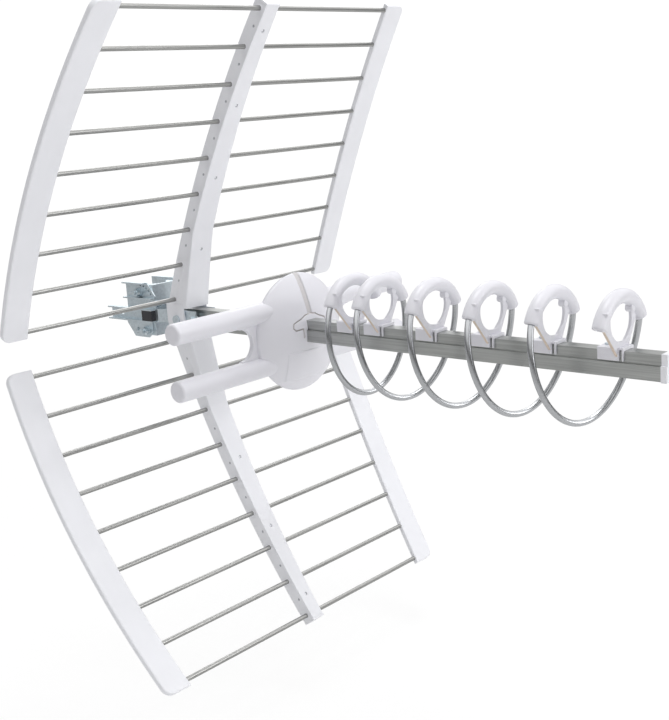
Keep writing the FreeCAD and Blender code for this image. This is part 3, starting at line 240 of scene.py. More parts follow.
def map_range(tree, value, smooth=False, **ends):
    """Map Range node on a value; each end, such as To_Max, is a number or another node's output."""
    node = tree.nodes.new("ShaderNodeMapRange")
    node.interpolation_type = "SMOOTHSTEP" if smooth else "LINEAR"
    tree.links.new(value, node.inputs["Value"])
    for key, end in ends.items():
        socket = node.inputs[key.replace("_", " ")]
        if isinstance(end, bpy.types.NodeSocket):
            tree.links.new(end, socket)
        else:
            socket.default_value = end
    return node.outputs["Result"]


class Finish:
    """A node material with its shader at hand and short calls for noise, bands and bump."""

    def __init__(self, name):
        self.material = bpy.data.materials.new(name)
        self.material.use_nodes = True
        self.tree = self.material.node_tree
        self.shader = self.tree.nodes["Principled BSDF"]
        self.place = self.tree.nodes.new("ShaderNodeTexCoord")

    def add(self, kind, **values):
        """New node of a kind with its properties set."""
        node = self.tree.nodes.new(kind)
        for key, value in values.items():
            setattr(node, key, value)
        return node

    def link(self, start, end):
        """Joins one node's output to another's input."""
        self.tree.links.new(start, end)

    def mapped(self, stretch):
        """Object coordinates, stretched by three factors."""
        mapping = self.add("ShaderNodeMapping")
        mapping.inputs["Scale"].default_value = stretch
        self.link(self.place.outputs["Object"], mapping.inputs["Vector"])
        return mapping.outputs["Vector"]

    def noise(self, scale, detail=3.0, roughness=0.55, stretch=(1, 1, 1)):
        """Smooth noise from 0 to 1 over the piece's own coordinates."""
        node = self.add("ShaderNodeTexNoise")
        node.inputs["Scale"].default_value = scale
        node.inputs["Detail"].default_value = detail
        node.inputs["Roughness"].default_value = roughness
        self.link(self.mapped(stretch), node.inputs["Vector"])
        return node.outputs["Fac"]

    def cells(self, scale):
        """A random tone for each cell of a scattered pattern."""
        node = self.add("ShaderNodeTexVoronoi")
        node.inputs["Scale"].default_value = scale
        self.link(self.mapped((1, 1, 1)), node.inputs["Vector"])
        return node.outputs["Color"]

    def ramp(self, value, stops):
        """Colour bands: each stop is a place from 0 to 1 and a colour."""
        node = self.add("ShaderNodeValToRGB")
        elements = node.color_ramp.elements
        while len(elements) < len(stops):
            elements.new(0.5)
        for element, (place, colour) in zip(elements, stops):
            element.position = place
            element.color = (*colour, 1.0)
        self.link(value, node.inputs["Fac"])
        return node.outputs["Color"]

    def levels(self, value, low, high):
        """Stretches a value's 0 to 1 over low to high."""
        return map_range(self.tree, value, To_Min=low, To_Max=high)

    def bump(self, value, strength, distance):
        """Shades the surface as if the value raised it, by a distance in metres."""
        node = self.add("ShaderNodeBump")
        node.inputs["Strength"].default_value = strength
        node.inputs["Distance"].default_value = distance
        self.link(value, node.inputs["Height"])
        self.link(node.outputs["Normal"], self.shader.inputs["Normal"])

    def set(self, **values):
        """Sets plain values of the shader by name."""
        for key, value in values.items():
            self.shader.inputs[key.replace("_", " ")].default_value = value

    def marked(self, plain, mark):
        """Plain colour, turned to a second one where the piece's own mark attribute is 1."""
        weight = self.add("ShaderNodeAttribute", attribute_name=MARK)
        mix = self.add("ShaderNodeMix", data_type="RGBA")
        mix.inputs[7].default_value = (*mark, 1.0)
        self.link(weight.outputs["Fac"], mix.inputs[0])
        self.link(plain, mix.inputs[6])
        return mix.outputs[2]

    def colour(self, output):
        """Takes the base colour from an output."""
        self.link(output, self.shader.inputs["Base Color"])

    def rough(self, output):
        """Takes the roughness from an output."""
        self.link(output, self.shader.inputs["Roughness"])


def shade(colour, factor):
    """Colour made darker or paler by a factor."""
    return tuple(min(1.0, c * factor) for c in colour)


def moulded(name, colour, roughness, grain, mark=None):
    """Moulded plastic: slow flow marks in the colour, fine grain in the surface, marks where told."""
    finish = Finish(name)
    flow = finish.noise(14.0, 4.0)
    plain = finish.ramp(flow, [(0.3, shade(colour, 0.955)), (0.7, colour)])
    finish.colour(finish.marked(plain, mark) if mark else plain)
    speck = finish.noise(900.0, 2.0)
    finish.rough(finish.levels(speck, roughness - 0.06, roughness + 0.08))
    finish.bump(speck, grain, 0.0004)
    finish.set(IOR=1.5)
    return finish.material


def drawn(name, colour, roughness, along, depth):
    """Drawn or extruded metal: fine lines that run along one axis."""
    finish = Finish(name)
    stretch = [260.0, 260.0, 260.0]
    stretch[along] = 4.0
    lines = finish.noise(3.0, 5.0, 0.6, stretch)
    bands = [(0.3, shade(colour, 0.8)), (0.5, colour), (0.72, shade(colour, 1.18))]
    finish.colour(finish.ramp(lines, bands))
    finish.rough(finish.levels(lines, roughness - 0.08, roughness + 0.12))
    finish.bump(lines, depth, 0.0003)
    finish.set(Metallic=1.0)
    return finish.material


def zinc_coated(name, colour):
    """Zinc on steel: faint crystal patches and a dull bloom."""
    finish = Finish(name)
    patches = finish.cells(420.0)
    bloom = finish.noise(90.0, 4.0)
    finish.colour(finish.ramp(patches, [(0.2, shade(colour, 0.93)), (0.8, shade(colour, 1.04))]))
    finish.rough(finish.levels(bloom, 0.28, 0.5))
    finish.bump(bloom, 0.1, 0.0003)
    finish.set(Metallic=0.9)
    return finish.material


def bright_plate(name, colour):
    """Plated metal: near mirror, with a fine haze."""
    finish = Finish(name)
    haze = finish.noise(300.0)
    finish.colour(finish.ramp(haze, [(0.2, shade(colour, 0.92)), (0.8, colour)]))
    finish.rough(finish.levels(haze, 0.16, 0.28))
    finish.set(Metallic=1.0)
    return finish.material


FINISHES = {
    "white_plastic": moulded("cool_white_moulding", COOL_WHITE, COOL_ROUGH, PLASTIC_GRAIN),
    "warm_plastic": moulded("warm_white_moulding", WARM_WHITE, WARM_ROUGH, PLASTIC_GRAIN),
    "black_plastic": moulded("black_moulding", (0.025, 0.025, 0.03), 0.4, 0.15),
    "board_green": moulded("green_board", (0.05, 0.24, 0.12), 0.4, 0.05),
    "boom_aluminium": drawn("extruded_aluminium", (0.44, 0.45, 0.44), 0.3, ALONG_X, 0.1),
    "rod_aluminium": drawn("drawn_aluminium", (0.36, 0.36, 0.352), 0.28, ALONG_Y, 0.04),
    "galvanised": zinc_coated("zinc_coated_steel", (0.64, 0.71, 0.75)),
    "socket_nickel": bright_plate("nickel_plate", (0.7, 0.69, 0.66)),
}
HELIX_FINISH = bright_plate("drawn_rod_metal", (0.47, 0.48, 0.495))
HOOK_FINISH = moulded("hook_moulding", WARM_WHITE, WARM_ROUGH, PLASTIC_GRAIN, STRUT_EDGE_TAN)
LID_FINISH = moulded("lid_moulding", WARM_WHITE, WARM_ROUGH, PLASTIC_GRAIN, SHADED_GROOVE)
SPINE_FINISH = moulded("spine_moulding", COOL_WHITE, COOL_ROUGH, PLASTIC_GRAIN, DIMPLE_PAINTED_SHADE)
SLOT_OF = {row["node"]: row["material_slot"] for row in frame["record"]["subparts"]}


def dress_nodes():
    """Gives every carried-over node the finish of its slot."""
    for name, slot in SLOT_OF.items():
        materials = frame["nodes"][name].data.materials
        materials.clear()
        materials.append(FINISHES[slot])


# Forms: closed surfaces made of rings of points

class Form:
    """Gathers closed surfaces, each a stack of rings, into one piece."""

    def __init__(self):
        self.points = []
        self.faces = []
        self.count = 0

    def add(self, rings, loop=False):
        """Joins ring to ring; the first and last are closed flat, or joined to each other in a loop."""
        rings = np.asarray(rings, dtype=float)
        n, m, _ = rings.shape
        index = np.arange(n * m).reshape(n, m)
        low = index if loop else index[:-1]
        high = np.roll(index, -1, axis=0) if loop else index[1:]
        corners = [low, np.roll(low, -1, axis=1), np.roll(high, -1, axis=1), high]
        quads = np.stack(corners, axis=-1).reshape(-1, 4)
        if signed_volume(rings, loop) < 0:
            quads = quads[:, ::-1]
            ends = [index[0].tolist(), index[-1][::-1].tolist()]
        else:
            ends = [index[0][::-1].tolist(), index[-1].tolist()]
        faces = (quads + self.count).tolist()
        if not loop:
            faces += [[k + self.count for k in end] for end in ends]
        self.points.append(rings.reshape(-1, 3))
        self.faces += faces
        self.count += n * m
        return self

    def make(self, name, node, finish=None, marks=None):
        """Piece that rides the antenna in place of a node, in the node's own finish or one given."""
        mesh = bpy.data.meshes.new(name)
        mesh.from_pydata((np.concatenate(self.points) * MM).tolist(), [], self.faces)
        mesh.shade_smooth()
        mesh.set_sharp_from_angle(angle=SHARP_ANGLE)
        if marks is not None:
            mesh.attributes.new(MARK, "FLOAT", "POINT").data.foreach_set("value", marks)
        piece = bpy.data.objects.new(name, mesh)
        bpy.context.scene.collection.objects.link(piece)
        mesh.materials.append(finish or FINISHES[SLOT_OF[node]])
        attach(piece, "antenna")
        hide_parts(node)


def signed_volume(rings, loop):
    """Six times the volume that the rings close in, below zero where they run inside out."""
    low = rings if loop else rings[:-1]
    high = np.roll(rings, -1, axis=0) if loop else rings[1:]
    centre = rings.reshape(-1, 3).mean(axis=0)
    a, b = low - centre, np.roll(low, -1, axis=1) - centre
    c, d = np.roll(high, -1, axis=1) - centre, high - centre
    total = np.einsum("ijk,ijk->", a, np.cross(b, c)) + np.einsum("ijk,ijk->", a, np.cross(c, d))
    if not loop:
        for ring, way in ((rings[0], -1), (rings[-1], 1)):
            middle = ring.mean(axis=0) - centre
            p, q = ring - centre, np.roll(ring, -1, axis=0) - centre
            total += way * np.einsum("k,ik->", middle, np.cross(p, q))
    return total


def circle(count):
    """Unit circle as cosines and sines."""
    turn = np.linspace(0, 2 * np.pi, count, endpoint=False)
    return np.cos(turn), np.sin(turn)


def tube_rings(path, radius, count):
    """Round rings across a path of points, none of them turned against the next."""
    step = np.gradient(path, axis=0)
    step /= np.linalg.norm(step, axis=1, keepdims=True)
    up = np.cross(step, (1.0, 0.0, 0.0))
    up /= np.linalg.norm(up, axis=1, keepdims=True)
    across = np.cross(up, step)
    cos, sin = circle(count)
    return path[:, None] + radius * (across[:, None] * cos[:, None] + up[:, None] * sin[:, None])


def turned_rings(axis, centre, profile, count):
    """Rings of a turned form: the profile gives a distance along the axis and a radius."""
    cos, sin = circle(count)
    along = {"x": (0, 1, 2), "y": (1, 2, 0)}[axis]
    profile = np.asarray(profile, dtype=float)
    rings = np.zeros((len(profile), count, 3))
    rings[:, :, along[0]] = profile[:, :1]
    rings[:, :, along[1]] = profile[:, 1:] * cos
    rings[:, :, along[2]] = profile[:, 1:] * sin
    return rings + np.asarray(centre, dtype=float)


def corner_cut(points, times):
    """Smooth curve through an open row of points: each pass cuts the corners at a quarter."""
    points = np.asarray(points, dtype=float)
    for _ in range(times):
        first = 0.75 * points[:-1] + 0.25 * points[1:]
        second = 0.25 * points[:-1] + 0.75 * points[1:]
        inner = np.stack([first, second], axis=1).reshape(-1, points.shape[1])
        points = np.concatenate([points[:1], inner, points[-1:]])
    return points


def rounded(points, radius, steps):
    """Closed outline with each corner rounded by a short curve."""
    points = np.asarray(points, dtype=float)
    before = np.roll(points, 1, axis=0) - points
    after = np.roll(points, -1, axis=0) - points
    before_length = np.linalg.norm(before, axis=1, keepdims=True)
    after_length = np.linalg.norm(after, axis=1, keepdims=True)
    start = points + before / before_length * np.minimum(radius, 0.49 * before_length)
    end = points + after / after_length * np.minimum(radius, 0.49 * after_length)
    t = np.linspace(0, 1, steps)[:, None, None]
    curve = (1 - t) ** 2 * start + 2 * t * (1 - t) * points + t ** 2 * end
    return curve.transpose(1, 0, 2).reshape(-1, points.shape[1])


def inset(outline, distance):
    """Closed outline moved inward by a distance, corner by corner."""
    edge = np.roll(outline, -1, axis=0) - outline
    edge /= np.maximum(np.linalg.norm(edge, axis=1, keepdims=True), 1e-9)
    normal = np.stack([-edge[:, 1], edge[:, 0]], axis=1)
    mean = normal + np.roll(normal, 1, axis=0)
    mean /= np.maximum(np.linalg.norm(mean, axis=1, keepdims=True), 1e-9)
    following = np.roll(outline, -1, axis=0)
    area = np.sum(outline[:, 0] * following[:, 1] - following[:, 0] * outline[:, 1])
    return outline + mean * (distance if area > 0 else -distance)


def soft_edge(low, high, bevel):
    """Places from low to high with how far an edge is drawn in at each one."""
    return [(low, bevel), (low + 0.3 * bevel, 0.3 * bevel), (low + bevel, 0.0),
            (high - bevel, 0.0), (high - 0.3 * bevel, 0.3 * bevel), (high, bevel)]


def slab_rings(axis, low, high, outline, bevel):
    """Rings of a flat form with softened edges: an outline carried along an axis from low to high."""
    stack = soft_edge(low, high, bevel)
    return np.stack([on_plane(axis, place, inset(outline, shrink)) for place, shrink in stack])


def block_rings(axis, low, high, corner, far_corner, radius, steps, bevel):
    """Rings of a soft block: a rectangle between two corners, carried along an axis."""
    (a0, b0), (a1, b1) = corner, far_corner
    outline = rounded([(a0, b0), (a1, b0), (a1, b1), (a0, b1)], radius, steps)
    return slab_rings(axis, low, high, outline, bevel)


def on_plane(axis, place, outline):
    """Outline laid on a plane: YZ for x, XZ for y, XY for z."""
    level = np.full(len(outline), float(place))
    columns = {"x": (level, outline[:, 0], outline[:, 1]),
               "y": (outline[:, 0], level, outline[:, 1]),
               "z": (outline[:, 0], outline[:, 1], level)}[axis]
    return np.stack(columns, axis=1)


def reach(outline, centre, way):
    """Distance from a centre to a closed outline along each direction."""
    start = np.asarray(outline, dtype=float) - centre
    edge = np.roll(start, -1, axis=0) - start
    cross = way[:, None, 0] * edge[None, :, 1] - way[:, None, 1] * edge[None, :, 0]
    cross = np.where(np.abs(cross) < 1e-12, 1e-12, cross)
    along = (start[None, :, 0] * edge[None, :, 1] - start[None, :, 1] * edge[None, :, 0]) / cross
    share = (start[None, :, 0] * way[:, None, 1] - start[None, :, 1] * way[:, None, 0]) / cross
    hit = (share >= -1e-9) & (share <= 1 + 1e-9) & (along > 0)
    return np.where(hit, along, np.inf).min(axis=1)


def step_up(value, width):
    """Smooth step from 0 to 1 as the value rises through zero, about a width wide."""
    t = np.clip(value / width + 0.5, 0, 1)
    return t * t * (3 - 2 * t)


# Helix and hooks

def arch_ends():
    """Half width and height at which a loop enters and leaves a hook."""
    return LOOP_HALF_Y * math.cos(LOOP_OVERRUN), LOOP_Z + LOOP_HALF_Z * math.sin(LOOP_OVERRUN)


def arch_shape():
    """Radius, centre height and end angle of the arc that carries the rod through a hook."""
    half_y, end_z = arch_ends()
    rise = ARCH_TOP_Z - end_z
    radius = (half_y ** 2 + rise ** 2) / (2 * rise)
    centre_z = ARCH_TOP_Z - radius
    return radius, centre_z, math.asin((end_z - centre_z) / radius)


def arch_path(x, start, end, count):
    """Points on a hook's arc: radius times cosine and sine of the angle, round its centre."""
    radius, centre_z, _ = arch_shape()
    turn = np.linspace(start, end, count)
    outline = np.stack([LOOP_Y + radius * np.cos(turn), centre_z + radius * np.sin(turn)], axis=1)
    return on_plane("x", x, outline)


def loop_path(x0, x1, count):
    """Points on one open loop: an upright oval that drifts forward as it passes under the boom."""
    share = np.linspace(0, 1, count)
    turn = -LOOP_OVERRUN + share * (math.pi + 2 * LOOP_OVERRUN)
    drift = share ** LOOP_DRIFT
    return np.stack([x0 + (x1 - x0) * drift, LOOP_Y - LOOP_HALF_Y * np.cos(turn),
                     LOOP_Z - LOOP_HALF_Z * np.sin(turn)], axis=1)


def make_helix():
    """Round rod swept along the five loops and six arcs, its joins eased by a short running mean."""
    end = arch_shape()[2]
    parts = [arch_path(HOOK_PLACES[0], end + ROD_INSIDE, math.pi - end, 70)]
    for x0, x1 in zip(HOOK_PLACES[:-1], HOOK_PLACES[1:]):
        parts.append(loop_path(x0, x1, 200)[1:-1])
        short = ROD_INSIDE if x1 == HOOK_PLACES[-1] else 0
        parts.append(arch_path(x1, end, math.pi - end - short, 70))
    path = np.concatenate(parts)
    eased = path.copy()
    edge = EASE_COUNT // 2
    for axis in range(3):
        eased[edge:-edge, axis] = np.convolve(path[:, axis], np.ones(EASE_COUNT) / EASE_COUNT, mode="valid")
    Form().add(tube_rings(eased, HELIX_R, 18)).make("helix", "helix_rod", HELIX_FINISH)


def egg_outline():
    """Egg-shaped hole of the web: a wide round above, a small round below, joined by straight sides."""
    across, down = HOLE_LOW[0] - HOLE_TOP[0], HOLE_LOW[1] - HOLE_TOP[1]
    lean = math.atan2(down, across)
    tangent = math.acos((HOLE_TOP[2] - HOLE_LOW[2]) / math.hypot(across, down))
    arcs = ((HOLE_TOP, np.linspace(lean + tangent, lean + 2 * math.pi - tangent, 60)),
            (HOLE_LOW, np.linspace(lean - tangent, lean + tangent, 24)))
    return np.concatenate([np.stack([y + r * np.cos(turn), z + r * np.sin(turn)], axis=1)
                           for (y, z, r), turn in arcs])


def holed_slab(low, high, outer, hole, centre, bevel, count):
    """Flat ring in the YZ plane between two outlines seen from one centre, with softened edges."""
    way = np.stack(circle(count), axis=1)
    far = reach(outer, centre, way)
    near = reach(hole, centre, way)
    edge = soft_edge(low, high, bevel)
    stack = [(near + shrink, place) for place, shrink in edge]
    stack += [(far - shrink, place) for place, shrink in reversed(edge)]
    return np.stack([on_plane("x", place, np.asarray(centre) + way * distance[:, None])
                     for distance, place in stack])


def hook_tube(x):
    """Thick tube over the rod: out along the arc, in over the softened end and back along the bore."""
    radius, centre_z, end = arch_shape()
    spans = [(end + lead, step) for lead, step in TUBE_MOUTH]
    spans += [(turn, ARCH_R) for turn in np.linspace(end + 0.06, math.pi - end - 0.06, 56)]
    spans += [(math.pi - end - lead, step) for lead, step in reversed(TUBE_MOUTH)]
    spans += [(turn, BORE_R) for turn in np.linspace(math.pi - end - 0.02, end + 0.02, 20)]
    turn, radii = np.array(spans).T[:, :, None]
    cos, sin = circle(32)
    out = radius + radii * sin
    return np.stack([x + radii * cos, LOOP_Y + out * np.cos(turn), centre_z + out * np.sin(turn)], axis=-1)


def saddle(low_x, high_x, bevel):
    """Foot over the boom's rail: an upturned U with rounded shoulders."""
    outline = rounded([(-FOOT_HALF_Y, RAIL_LOW_Z), (-FOOT_HALF_Y, FOOT_TOP_Z), (FOOT_HALF_Y, FOOT_TOP_Z),
                       (FOOT_HALF_Y, RAIL_LOW_Z), (RAIL_HALF_Y, RAIL_LOW_Z), (RAIL_HALF_Y, RAIL_TOP_Z),
                       (-RAIL_HALF_Y, RAIL_TOP_Z), (-RAIL_HALF_Y, RAIL_LOW_Z)], 0.9, 4)
    return slab_rings("x", low_x, high_x, outline, bevel)


def web_outline(near_y, far_y, end_z):
    """Outer edge of a hook's web: two struts up from the foot to the tube's ends, closed under the arch."""
    return rounded([(near_y + 0.65 * ARCH_R, end_z), *WEB_FOOT,
                    (far_y - 1.35 * ARCH_R, end_z), (far_y - 0.8 * ARCH_R, end_z + ARCH_R),
                    (far_y / 2, ARCH_TOP_Z - 4), (near_y / 2, ARCH_TOP_Z - 4)], 2.0, 4)


def make_hook(number, x):
    """Hook support: tube, holed web, saddle foot with its notch, round lug, clip and nib in one piece."""
    half_y, end_z = arch_ends()
    near_y = LOOP_Y - half_y
    outer = web_outline(near_y, LOOP_Y + half_y, end_z)
    form = Form().add(hook_tube(x), loop=True)
    web = holed_slab(x - WEB_T / 2, x + WEB_T / 2, outer, egg_outline(), WEB_CENTRE, 0.7, 160)
    form.add(web, loop=True)
    form.add(saddle(x - FOOT_BACK, x + FOOT_AHEAD, 0.5)).add(saddle(x + NOTCH_END, x + FOOT_END, 0.35))
    roof = block_rings("z", ROOF_LOW_Z, FOOT_TOP_Z - 0.05, (x + ROOF_X[0], -ROOF_HALF_Y),
                       (x + ROOF_X[1], ROOF_HALF_Y), 0.4, 3, 0.3)
    lug = turned_rings("x", (x, *LUG_CENTRE), LUG_PROFILE, 32)
    clip = block_rings("z", end_z, end_z + CLIP_TALL, (x - CLIP_HALF_X, near_y + CLIP_IN_Y),
                       (x + CLIP_HALF_X, near_y + ARCH_R + CLIP_PAST_Y), 1.6, 5, 1.2)
    nib = block_rings("z", *NIB_Z, (x + NIB_X[0], near_y + NIB_IN_Y[0]),
                      (x + NIB_X[1], near_y + NIB_IN_Y[1]), 0.8, 4, 0.7)
    form.add(roof).add(lug).add(clip).add(nib)
    place = np.concatenate(form.points)
    # Points on the web's near strut edge take the tan tint through the mark attribute
    strut = [(near_y + 0.65 * ARCH_R + 0.6, end_z - 0.8), STRUT_FOOT]
    on_edge = line_distance(place[:, 1], place[:, 2], strut) < 0.5
    on_edge &= np.abs(place[:, 0] - x) < 0.5 * WEB_T
    form.make(f"hook_form_{number}", f"hook_{number}", HOOK_FINISH, on_edge.astype(float))


# Dipole box

def depth_at(profile, radius):
    """Depth of a dished profile at each radius, along its smoothed curve."""
    curve = corner_cut(profile, 3)[::-1]
    return np.interp(radius, curve[:, 0], curve[:, 1])


def line_distance(y, z, line):
    """Distance of each point to an open line of straight parts."""
    best = np.full(y.shape, np.inf)
    for (y0, z0), (y1, z1) in zip(line[:-1], line[1:]):
        length = (y1 - y0) ** 2 + (z1 - z0) ** 2
        share = np.clip(((y - y0) * (y1 - y0) + (z - z0) * (z1 - z0)) / length, 0, 1)
        best = np.minimum(best, np.hypot(y - y0 - share * (y1 - y0), z - z0 - share * (z1 - z0)))
    return best


def groove_and_line(y, z):
    """How much of a point lies in the groove up to the rim, and in the clip's outline."""
    groove = step_up(GROOVE_HALF_Y - np.abs(y), GROOVE_EDGE) * step_up(z - GROOVE_LOW_Z, GROOVE_EDGE)
    return groove, step_up(LINE_HALF - line_distance(y, z, CLIP_LINE), LINE_EDGE)


def cover_relief(y, z):
    """Height over the dome: a raised plain panel, the groove up to the rim and the clip's outline."""
    plate = step_up(PLATE_HALF_Y - np.abs(y), PLATE_EDGE)
    plate *= step_up(PLATE_TOP_Z - z, PLATE_EDGE) * step_up(z - PLATE_LOW_Z, PLATE_EDGE)
    groove, line = groove_and_line(y, z)
    return PLATE_RISE * plate - GROOVE_DEPTH * groove - LINE_DEPTH * line


def dish(profile, rows, count, relief, wall):
    """Dished shell from the boom's passage out to the rim and back inside."""
    way = np.stack(circle(count), axis=1)
    hole = reach(np.asarray(BOOM_SECTION) * PASSAGE_ROOM, (0.0, BOX_Z), way)
    radius = hole + (RIM_R - hole) * np.linspace(0, 1, rows)[:, None]
    y, z = radius * way[:, 0], BOX_Z + radius * way[:, 1]
    outer = np.stack([RIM_X + depth_at(profile, radius) + relief(y, z), y, z], axis=-1)
    radius = hole + (RIM_R - LIP_SHARE * SHELL_T - hole) * np.linspace(1, 0, 24)[:, None]
    past_rim = np.maximum((depth_at(profile, radius) - wall) * np.sign(wall), 0.02)
    y, z = radius * way[:, 0], BOX_Z + radius * way[:, 1]
    inner = np.stack([RIM_X + past_rim * np.sign(wall), y, z], axis=-1)
    return np.concatenate([outer, inner])


def make_dipole_cover():
    """Domed lid with its relief, its groove and outline marked for painted shade."""
    form = Form().add(dish(DOME_PROFILE, 120, 480, cover_relief, SHELL_T), loop=True)
    x, y, z = np.concatenate(form.points).T
    groove, line = groove_and_line(y, z)
    outside = x > RIM_X + depth_at(DOME_PROFILE, np.hypot(y, z - BOX_Z)) - SHELL_T
    # Painted shade: the groove takes part of the darker colour, the clip's outline all of it
    marks = np.clip(GROOVE_SHADE * groove + line, 0, 1) * outside
    form.make("dipole_lid", "dipole_cover", LID_FINISH, marks)


def no_relief(y, z):
    """A plain surface, for the pan."""
    return np.zeros(y.shape)


def arm_profile(side):
    """Profile of an arm out along Y: its root in the pan, its length and its rounded end."""
    start = TUBE_OUT_Y - TUBE_END_R
    profile = [(side * TUBE_ROOT_Y, 11.0), (side * (TUBE_ROOT_Y + 0.5), TUBE_R), (side * start, TUBE_R)]
    for turn in np.linspace(0.15, math.pi / 2, 6):
        profile.append((side * (start + TUBE_END_R * math.sin(turn)),
                        TUBE_R - TUBE_END_R + TUBE_END_R * math.cos(turn)))
    return profile + [(side * (TUBE_OUT_Y - 0.02), 2.0)]


def make_dipole_housing():
    """Rear pan with four arms and the bridge between each pair, softly rounded."""
    form = Form().add(dish(PAN_PROFILE, 50, 192, no_relief, -SHELL_T), loop=True)
    low, high = BOX_Z - BRIDGE_HALF_Z, BOX_Z + BRIDGE_HALF_Z
    turn = np.linspace(-math.pi / 2, math.pi / 2, 28)
    cut = np.stack([BRIDGE_CUT_Y - BRIDGE_CUT_R * np.cos(turn), BOX_Z + BRIDGE_CUT_R * np.sin(turn)], axis=1)
    bridge = np.concatenate([[(TUBE_ROOT_Y, low), (BRIDGE_OUT_Y, low)], cut,
                             [(BRIDGE_OUT_Y, high), (TUBE_ROOT_Y, high)]])
    for side in (-1, 1):
        for z in (BOX_Z + TUBE_SPACING / 2, BOX_Z - TUBE_SPACING / 2):
            form.add(turned_rings("y", (RIM_X - TUBE_BACK, 0, z), arm_profile(side), 48))
        form.add(slab_rings("x", RIM_X - TUBE_BACK - BRIDGE_BACK, RIM_X - BRIDGE_DROP,
                            bridge * (side, 1), 1.4))
    form.make("dipole_body", "dipole_housing")


# Reflector

def panel_at(distance, offset=0.0):
    """Side view of the reflector: a distance along the rods' arc and an offset in front of it."""
    radius = PANEL_RADIUS - offset
    turn = PANEL_LEAN + distance / PANEL_RADIUS
    x = PANEL_ROOT_X + PANEL_RADIUS * math.cos(PANEL_LEAN) - radius * np.cos(turn)
    z = PANEL_ROOT_Z - PANEL_RADIUS * math.sin(PANEL_LEAN) + radius * np.sin(turn)
    return x, z


def rod_places():
    """Number, X and Z of each rod of the upper half, from the boom outward."""
    return [(k + 1, *panel_at(k * ROD_PITCH)) for k in range(ROD_COUNT)]


def bar_inner_y(z):
    """Curve of the bars' inner edge: the parabola through three rods' ends."""
    heights = [place[2] for place in rod_places()[::4]]
    return np.polyval(np.polyfit(heights, BAR_INNER_Y, 2), z)


def make_rods(half_name, up):
    """Nine round rods of one reflector half, their ends seated in the bars."""
    for number, x, z in rod_places():
        half = bar_inner_y(z) + ROD_SEAT
        profile = [(-half, ROD_R - ROD_EDGE), (-half + ROD_EDGE, ROD_R),
                   (half - ROD_EDGE, ROD_R), (half, ROD_R - ROD_EDGE)]
        form = Form().add(turned_rings("y", (x, 0, up * z), profile, 20))
        form.make(f"{half_name}_rod_form_{number}", f"{half_name}_rod_{number}")


def squared(value, power):
    """Sine or cosine pushed towards -1 and 1, for a rounded rectangle."""
    return np.sign(value) * np.abs(value) ** power


def make_bar(name, side, up):
    """Flat side bar: a rounded section carried along the reflector's arc, its outer corners rounded."""
    ease = 0.5 - 0.5 * np.cos(np.linspace(0, np.pi, 120))
    distance = -BAR_PAST + (PANEL_LENGTH + 2 * BAR_PAST) * ease
    cos, sin = circle(40)
    across = 0.5 + 0.5 * squared(cos, 0.16)
    thick = BAR_HALF_T * squared(sin, 0.45)
    from_end = np.minimum(distance + BAR_PAST, PANEL_LENGTH + BAR_PAST - distance)
    to_corner = np.maximum(BAR_CORNER_R - from_end, 0)
    width = BAR_WIDTH - BAR_CORNER_R + np.sqrt(np.maximum(BAR_CORNER_R ** 2 - to_corner ** 2, 0))
    ends = np.clip(from_end / 0.7, 0.35, 1.0) ** 0.5
    inner = bar_inner_y(panel_at(distance)[1])
    x, z = panel_at(distance[:, None], thick * ends[:, None])
    y = side * (inner[:, None] + width[:, None] * across)
    Form().add(np.stack([x, y, up * z], axis=-1)).make(name + "_form", name)


def spine_half_y(z, nest):
    """Half width of a spine at a height; the lower one nests inside the upper one's ears."""
    tip_z = panel_at(PANEL_LENGTH + 6.5)[1]
    return SPINE_ROOT_HALF_Y - (SPINE_ROOT_HALF_Y - SPINE_TIP_HALF_Y) * z / tip_z - nest


def spine_outline():
    """Points of the U as three rows: across from -1 to 1, depth from 0 to 1, and which skin."""
    level = np.linspace(0, 1, 26)[:-2]
    corner = np.linspace(0, np.pi / 2, 6)[1:-1]
    points = [(-1.0, v, SIDE) for v in level]
    points += [(-1.0 + 0.09 * (1 - math.cos(t)), 0.94 + 0.06 * math.sin(t), SIDE) for t in corner]
    points += [(0.91 * u, 1.0, FRONT) for u in np.linspace(-1, 1, 30)]
    points += [(1.0 - 0.09 * (1 - math.cos(t)), 0.94 + 0.06 * math.sin(t), SIDE) for t in corner[::-1]]
    points += [(1.0, v, SIDE) for v in level[::-1]]
    points += [(1.0, v, INSIDE) for v in (0.0, 0.5, 1.0)]
    points += [(-1.0, v, INSIDE) for v in (1.0, 0.5, 0.0)]
    return np.array(points).T


def spine_dimples(along, across, deep, skin):
    """How much of each point lies in a dimple: four in the front, eight shallow ones in each side."""
    dimple = np.zeros(across.shape)
    for place in FRONT_DIMPLES:
        from_hole = np.hypot(along - place * ROD_PITCH, across)
        dimple += np.where(skin == FRONT, step_up(FRONT_DIMPLE_R - from_hole, DIMPLE_EDGE), 0)
    for place in SIDE_DIMPLES:
        from_hole = np.hypot(along - place * ROD_PITCH, deep - SIDE_DIMPLE_DEEP)
        shallow = SIDE_DIMPLE_SHARE * step_up(SIDE_DIMPLE_R - from_hole, DIMPLE_EDGE)
        dimple += np.where(skin == SIDE, shallow, 0)
    return dimple


